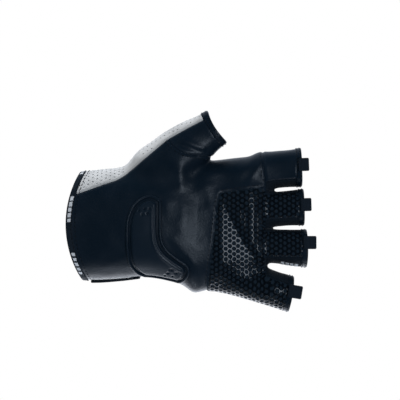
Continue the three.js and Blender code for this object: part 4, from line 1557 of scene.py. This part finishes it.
def pad_meshes():
    """The rim and the middle of the pad, as solids of moulded relief."""
    chart = Chart(HAND, PALM_TURN, 0, 120)
    seen = spline(PAD_OUTLINE, closed=True)
    outline = evenly(np.stack([seen[:, 0], chart.flat(seen[:, 0], seen[:, 1])], 1), PAD_POINTS)
    height, rim = mm("pad_height"), mm("pad_rim")
    core = inset(outline, rim + PAD_GROOVE)

    loops = [inset(outline, share * rim) for share in RIM_STEPS["share"]]
    rim_points = np.vstack(loops)
    rim_heights = np.repeat(RIM_STEPS["height"], len(outline))
    rim_faces = grid_faces(len(loops), len(outline), wrap=True)

    edge = inset(core, CORE_STEPS["depth"][1])
    steps = np.concatenate([CORE_STEPS["depth"][2:], RIDGES["depth"]])
    stepped = np.vstack([inset(core, depth) for depth in steps])
    off = outline_distance(stepped, core) + np.repeat(steps, len(core))
    astray = np.abs(off) > PAD_STRAY
    dots, dot_rings = [], []
    dot_x = np.array([p[0] for p in PAD_DOTS], float)
    dot_v = chart.flat(dot_x, np.array([p[1] for p in PAD_DOTS], float))
    turn = np.linspace(0, 2 * math.pi, DOT_SIDES, endpoint=False)
    for x, v in zip(dot_x, dot_v):
        for radius in DOT_RINGS:
            dot_rings.append(np.stack([x + radius * np.cos(turn), v + radius * np.sin(turn)], 1))
        dots.append((x, v))
    across, along = np.arange(*PAD_X, PAD_GRID), np.arange(*PAD_V, PAD_GRID)
    grid = np.stack(np.meshgrid(across, along), -1).reshape(-1, 2)
    away = -outline_distance(grid, core)
    dot_away = np.min([np.hypot(grid[:, 0] - x, grid[:, 1] - v) for x, v in dots], axis=0)
    inward = away > RIDGES["depth"][-1] + PAD_INWARD
    loose = np.vstack([stepped[~astray], grid[inward & (dot_away > DOT_CLEAR)] + 0.01])
    flat, faces = relief([edge] + dot_rings, loose, lambda m: outline_distance(m, edge) < 0)
    depth = -outline_distance(flat, core)
    high = np.interp(depth, CORE_STEPS["depth"], CORE_STEPS["share"]) * height
    high += np.interp(depth, RIDGES["depth"], RIDGES["rise"]) * finger_side(flat, core, chart)
    dot_away = np.min([np.hypot(flat[:, 0] - x, flat[:, 1] - v) for x, v in dots], axis=0)
    high -= DOT_DEPTH * (dot_away < DOT_REACH)

    pieces = []
    for name, plan, heights, made in (
        ("pad_rim_ring", rim_points, rim_heights, rim_faces[:, ::-1]),
        ("palm_pad_core", flat, high, faces),
    ):
        base = chart.place(plan[:, 0], plan[:, 1])
        pieces.append((name, settled_smooth(base, heights), made))
    rim_piece = mesh_object(*pieces[0], [moulded_rubber()])
    name, placed, made = pieces[1]
    edges = boundary(made)
    below = chart.place(flat[:, 0], flat[:, 1], -0.5)
    count = len(placed)
    sides = np.vstack([
        np.stack([edges[:, 1], edges[:, 0], edges[:, 0] + count], 1),
        np.stack([edges[:, 1], edges[:, 0] + count, edges[:, 1] + count], 1),
    ])
    every = np.vstack([made, sides, made[:, ::-1] + count])
    points, every = compacted(np.vstack([placed, below]), every)
    core_piece = mesh_object(name, points, every, [moulded_rubber()])
    return rim_piece, core_piece


# Where the two ridges start towards the fingers, and where they end across the hand: the X or Z
# at which they begin to rise, and the width over which they do
RIDGES_X, RIDGES_LOW, RIDGES_TOP = (50, 4), (-31, 5), (16, 4)


def finger_side(flat, core, chart):
    """1 beside the finger-side edge of the pad's middle, where it carries two ridges."""
    nearest = np.argmin(np.hypot(*(flat[:, None] - core[None]).transpose(2, 0, 1)), axis=1)
    x, _, z = chart.place(core[:, 0], core[:, 1]).T
    low, top = ease((z - RIDGES_LOW[0]) / RIDGES_LOW[1]), ease((RIDGES_TOP[0] - z) / RIDGES_TOP[1])
    return (ease((x - RIDGES_X[0]) / RIDGES_X[1]) * low * top)[nearest]


def settled_smooth(base, heights):
    """Places at a height over the tube of the hand, along the tube's own smooth normals."""
    station, angle, _ = HAND.measure(base)
    above = HAND.points(station, angle, 1.0)
    return base + unit(above - base) * (heights + 0.1)[:, None]


class GLOVE_OT_strap(bpy.types.Operator):
    """Wrist strap round the little-finger side and back of the cuff"""

    bl_idname = "glove.strap"
    bl_label = "Wrist strap"

    def execute(self, context):
        fitted(strap_mesh(), "webbing", "wrist_strap")
        return {"FINISHED"}


# Section angles where the strap starts under the little-finger side and ends on the back
STRAP_TURNS = (math.pi + 0.12, 0.5 * math.pi - 0.62)
STRAP_INSET, STRAP_INNER, STRAP_ROUNDING = 0.4, 0.25, 0.7
STRAP_THINNING = 0.3  # share of its thickness that it loses from the wrist's side to the fingers'


def strap_mesh():
    """A flat strap with rounded edges that thins towards the fingers."""
    turns = np.linspace(*STRAP_TURNS, 90)
    profile = np.array(band_profile(
        STRAP_START + STRAP_INSET, STRAP_END - STRAP_INSET, STRAP_THICK, STRAP_INNER, STRAP_ROUNDING
    ), float)
    x, offset = profile[:, 0][None, :], profile[:, 1][None, :]
    thin = 1 - STRAP_THINNING * (x - STRAP_START) / (STRAP_END - STRAP_START)
    offset = GAP + (offset - STRAP_INNER) * thin
    station = x + np.zeros_like(turns)[:, None]
    for _ in range(8):
        points = HAND.points(station, turns[:, None], offset)
        station = station + x - points[..., 0]
    rows, columns = points.shape[:2]
    faces = grid_faces(rows, columns, wrap=True)
    flat = corner_flats(faces, columns, walked(points[:, 0]), walked(profile, closed=True))
    last = (rows - 1) * columns
    caps = [list(range(columns))[::-1], list(range(last, last + columns))]
    flat = flat.reshape(-1, 2).tolist() + [[0, 0]] * (2 * columns)
    every = faces[:, ::-1].tolist() + caps
    return mesh_object("wrist_strap_band", points.reshape(-1, 3), every, [woven_tape()], None, flat)


class GLOVE_OT_tabs(bpy.types.Operator):
    """Folded pull tabs on the fingertip hems"""

    bl_idname = "glove.tabs"
    bl_label = "Pull tabs"

    def execute(self, context):
        for name in TAB_SHIFT:
            fitted(tab_mesh(name), "webbing", name + "_tab")
        return {"FINISHED"}


TAB_STEPS, TAB_SETBACK = 6, 0.4  # points along a side of the fold, and how far they start behind
TAB_CORNER, TAB_CORNER_START = 0.28, 0.86  # rounding of a corner, and where across the tab it starts
TAB_TWIST, TAB_TWIST_RATE = 0.12, 2.1  # how far it lifts across its width, and how quickly


def tab_mesh(name):
    """A short tape folded into a flat loop and sewn under the hem."""
    tube = STALLS[name]
    end = {key: float(value) for key, value in tube.section(tube.end).items()}
    half, long = TAB_THICK / 2, TAB_LONG[name]
    bend = np.radians(np.linspace(-90, 90, 9))
    along = [long * k / TAB_STEPS - TAB_SETBACK for k in range(TAB_STEPS)]
    outer = [(-TAB_SEWN, -half)] + [(x, -half) for x in along]
    outer += [(long - half + half * math.cos(a), half * math.sin(a)) for a in bend]
    outer += [(x, half) for x in along[::-1]] + [(-TAB_SEWN, half)]
    # The slit inside the folded tape: the outer line drawn in by the thickness of the tape
    slit = half - TAB_TAPE
    hole = [
        (min(x, long - half) if abs(y) == half else long - half + slit * (x - long + half) / half,
         y * slit / half)
        for x, y in outer
    ]
    loop = np.array(outer + hole[::-1])
    across = np.linspace(-1, 1, 15)
    turned = math.radians(end["tilt"])
    points = []
    for share in across:
        corner = np.clip((abs(share) - TAB_CORNER_START) / (1 - TAB_CORNER_START), 0, 1)
        squeeze = TAB_CORNER * corner**2
        reach = loop[:, 0] - squeeze * np.clip((loop[:, 0] - long + 2) / 2, 0, 1) * 2
        depth = loop[:, 1] * (1 - squeeze / 4) + TAB_TWIST * math.sin(share * TAB_TWIST_RATE)
        z = np.full(len(loop), share * TAB_WIDE / 2)
        points.append(np.stack([
            tube.end + reach * math.cos(turned) - z * math.sin(turned),
            end["y"] - end["palm"] - HEM_PROUD - GAP - half + depth,
            end["z"] + TAB_SHIFT[name] + reach * math.sin(turned) + z * math.cos(turned),
        ], 1))
    points = np.array(points)
    rows, columns = points.shape[:2]
    faces = grid_faces(rows, columns, wrap=True)
    wide = (across + 1) * TAB_WIDE / 2
    flat = corner_flats(faces, columns, wide, walked(loop, closed=True))[..., ::-1]
    half_count = columns // 2
    caps = []
    for first in (0, (rows - 1) * columns):
        for k in range(half_count - 1):
            quad = [first + k, first + k + 1, first + columns - 2 - k, first + columns - 1 - k]
            caps.append(quad if first else quad[::-1])
    every = np.vstack([faces, caps])
    flat = np.vstack([flat, np.zeros((len(caps), 4, 2))])
    return mesh_object(name + "_pull_tab", points.reshape(-1, 3), every, [woven_tape()], None, flat)


class GLOVE_OT_stitching(bpy.types.Operator):
    """Sewing thread along the seams, the hems and the binding"""

    bl_idname = "glove.stitching"
    bl_label = "Stitching"

    def execute(self, context):
        fitted(stitch_rows("seam_stitches", seam_rows()), "black_leather")
        fitted(stitch_rows("hem_stitches", hem_rows()), "black_leather")
        return {"FINISHED"}


def shifted(line, distance):
    """An open line moved sideways, to its left where the distance is positive."""
    along = np.gradient(line, axis=0)
    return line + distance * unit(np.stack([-along[:, 1], along[:, 0]], 1))


# The lines that carry top stitching, and how far to the left of each it runs
SEAM_STITCHES = [(THUMB_SEAM, -1.7), (GRIP_SEAM[1:], 1.7), (GRIP_TOP_SEAM, 1.7), (INDEX_SEAM, 1.9)]
STITCH_BESIDE = 2.6  # distance of the row on the leather from the row on the binding
HEM_ROWS, BINDING_ROW = (1.2, HEM_WIDTH - 0.9), 1.0  # distances of the rows from a band's edge
HEM_THREAD, BINDING_THREAD = 0.12, 0.1  # how far the middle of the thread lies above a band
BAND_DEEP = -3  # an offset well under a band, to find which way is out


def seam_rows():
    """Top stitching beside the seams of the palm side."""
    rows = []
    for line, distance in SEAM_STITCHES:
        path = shifted(spline(line), distance)
        rows.append(seen_from_palm(path[:, 0], path[:, 1]))
    return rows


def hem_rows():
    """Two rows round each hem, one round the binding and one round the leather beside it."""
    rows = []
    turn = np.linspace(0, 2 * math.pi, 181)
    for tube in STALLS.values():
        for inward in HEM_ROWS:
            station = np.full_like(turn, tube.end - inward)
            points = tube.points(station, turn, HEM_PROUD + HEM_THREAD)
            rows.append((points, unit(points - tube.points(station, turn, BAND_DEEP))))
    edge = np.full_like(turn, BINDING_START + BINDING_WIDTH - BINDING_ROW)
    points = HAND.points(edge, turn, BINDING_PROUD + BINDING_THREAD)
    rows.append((points, unit(points - HAND.points(edge, turn, BAND_DEEP))))
    beside = HAND.points(edge + STITCH_BESIDE, turn, 0.0)
    rows.append(settled(beside))
    return rows


class GLOVE_OT_stage(bpy.types.Operator):
    """Pale floor, soft lights and the camera"""

    bl_idname = "glove.stage"
    bl_label = "Studio"

    def execute(self, context):
        pale_floor()
        soft_lights()
        camera()
        return {"FINISHED"}


CAMERA_DISTANCE = 1.2
CAMERA_CENTRE = (0.0843, 0.0, 0.0177)
FIELD_WIDTH = 0.272  # what the frame spans at the glove, in metres
SENSOR = 36.0


def camera():
    """The camera that looks at the palm."""
    data = bpy.data.cameras.new("camera")
    data.sensor_width = SENSOR
    data.lens = SENSOR * CAMERA_DISTANCE / FIELD_WIDTH
    data.clip_end = 100
    viewer = bpy.data.objects.new("camera", data)
    viewer.location = (CAMERA_CENTRE[0], -CAMERA_DISTANCE, CAMERA_CENTRE[2])
    viewer.rotation_euler = (math.pi / 2, 0, 0)
    bpy.context.scene.collection.objects.link(viewer)
    bpy.context.scene.camera = viewer


FLOOR_LEVEL = -1400.0  # so far below the glove that the frame shows no shadow on it
FLOOR_RINGS, FLOOR_SIDES = (10.0, 500.0, 1000.0), 64


def pale_floor():
    """A wide round floor well below the glove."""
    material, tree, surface, place = new_material("matt_paper", Roughness=0.9, Specular_IOR_Level=0.2)
    fibre = node(tree, "TexNoise", {"Vector": place, "Scale": 6.0, "Detail": 2.0})
    shade_between(tree, surface, fibre.outputs["Fac"], colour("floor"), linear("#eef0f1"))
    turn = np.linspace(0, 2 * math.pi, FLOOR_SIDES, endpoint=False)
    level = np.full(FLOOR_SIDES, FLOOR_LEVEL)
    rings = [np.stack([r * np.cos(turn), r * np.sin(turn), level], 1) for r in FLOOR_RINGS]
    faces = grid_faces(len(rings), FLOOR_SIDES, wrap=True)[:, ::-1].tolist()
    faces.append(list(range(FLOOR_SIDES)))
    floor = mesh_object("floor", np.vstack(rings), faces, [material])


# Soft boxes: where each hangs and what it aims at in metres, its width and height, power and
# colour, and whether it shows as a reflection
LIGHTS = [
    ("front_strip", (0.69, -1.19, -0.11), (0.09, 0.0, 0.0), (0.25, 0.64), 7.8, "#e1efff", True),
    ("front_fill", (-0.7, -1.3, 0.6), (0.08, 0.0, 0.0), (0.9, 0.9), 10.0, "#ffffff", False),
    ("top", (-0.2, 0.15, 1.3), (0.08, 0.0, 0.0), (1.0, 1.0), 16.0, "#f6faff", False),
    ("front_low", (0.1, -0.1, -0.75), (0.1, 0.0, 0.0), (0.14, 0.1), 0.8, "#e8f1ff", True),
    ("below", (0.03, 0.3, -0.42), (0.08, 0.0, 0.0), (0.5, 0.5), 3.0, "#f2f6ff", True),
]
# The surround is dark in front of the glove and bright behind it: how far behind, as the Y of a
# direction, it starts and stops growing brighter, and its strength before and after
SURROUND = {"From Min": -0.1, "From Max": 0.4, "To Min": 0.015, "To Max": 1.0}


def soft_lights():
    """Soft boxes and a pale surround that is bright behind the glove and dim in front of it."""
    for name, place, target, (width, height), power, code, mirrored in LIGHTS:
        data = bpy.data.lights.new(name, "AREA")
        data.shape = "RECTANGLE"
        data.size, data.size_y = width, height
        data.energy = power
        data.color = linear(code)[:3]
        lamp = bpy.data.objects.new(name, data)
        lamp.location = place
        lamp.visible_glossy = mirrored
        lamp.rotation_euler = (Vector(target) - Vector(place)).to_track_quat("-Z", "Y").to_euler()
        bpy.context.scene.collection.objects.link(lamp)
    world = bpy.data.worlds.new("studio")
    world.use_nodes = True
    tree = world.node_tree
    background = tree.nodes["Background"]
    direction = node(tree, "TexCoord").outputs["Generated"]
    parts = node(tree, "SeparateXYZ", {"Vector": direction})
    growing = {"Value": parts.outputs["Y"], **SURROUND}
    behind = node(tree, "MapRange", growing, interpolation_type="SMOOTHSTEP")
    seen = node(tree, "LightPath").outputs["Is Camera Ray"]
    brightness = node(tree, "Math", {0: behind.outputs["Result"], 1: seen}, operation="MAXIMUM")
    tint = node(tree, "MixRGB", {"Fac": seen, "Color1": linear("#e8f1ff"), "Color2": (1, 1, 1, 1)})
    tree.links.new(tint.outputs["Color"], background.inputs["Color"])
    tree.links.new(brightness.outputs[0], background.inputs["Strength"])
    bpy.context.scene.world = world
    bpy.context.scene.view_settings.view_transform = "Standard"


class GLOVE_PT_panel(bpy.types.Panel):
    """The glove's pieces, sizes and colours"""

    bl_idname = "GLOVE_PT_panel"
    bl_label = "Riding glove"
    bl_space_type = "VIEW_3D"
    bl_region_type = "UI"
    bl_category = "Glove"

    def draw(self, context):
        column = self.layout.column()
        for operator in OPERATORS:
            column.operator(operator.bl_idname)
        for group in (context.scene.glove_sizes, context.scene.glove_colours):
            box = self.layout.box()
            for name in group.__annotations__:
                box.prop(group, name)


OPERATORS = (
    GLOVE_OT_leather,
    GLOVE_OT_grip,
    GLOVE_OT_sides,
    GLOVE_OT_finger_backs,
    GLOVE_OT_back,
    GLOVE_OT_edges,
    GLOVE_OT_pad,
    GLOVE_OT_strap,
    GLOVE_OT_tabs,
    GLOVE_OT_stitching,
    GLOVE_OT_stage,
)
CLASSES = (GLOVE_PG_sizes, GLOVE_PG_colours, *OPERATORS, GLOVE_PT_panel)


def register():
    for item in CLASSES:
        bpy.utils.register_class(item)
    bpy.types.Scene.glove_sizes = PointerProperty(type=GLOVE_PG_sizes)
    bpy.types.Scene.glove_colours = PointerProperty(type=GLOVE_PG_colours)


def unregister():
    del bpy.types.Scene.glove_colours
    del bpy.types.Scene.glove_sizes
    for item in reversed(CLASSES):
        bpy.utils.unregister_class(item)


def main():
    """Builds the glove piece by piece."""
    register()
    for operator in OPERATORS:
        group, name = operator.bl_idname.split(".")
        getattr(getattr(bpy.ops, group), name)()


if __name__ == "__main__":
    main()
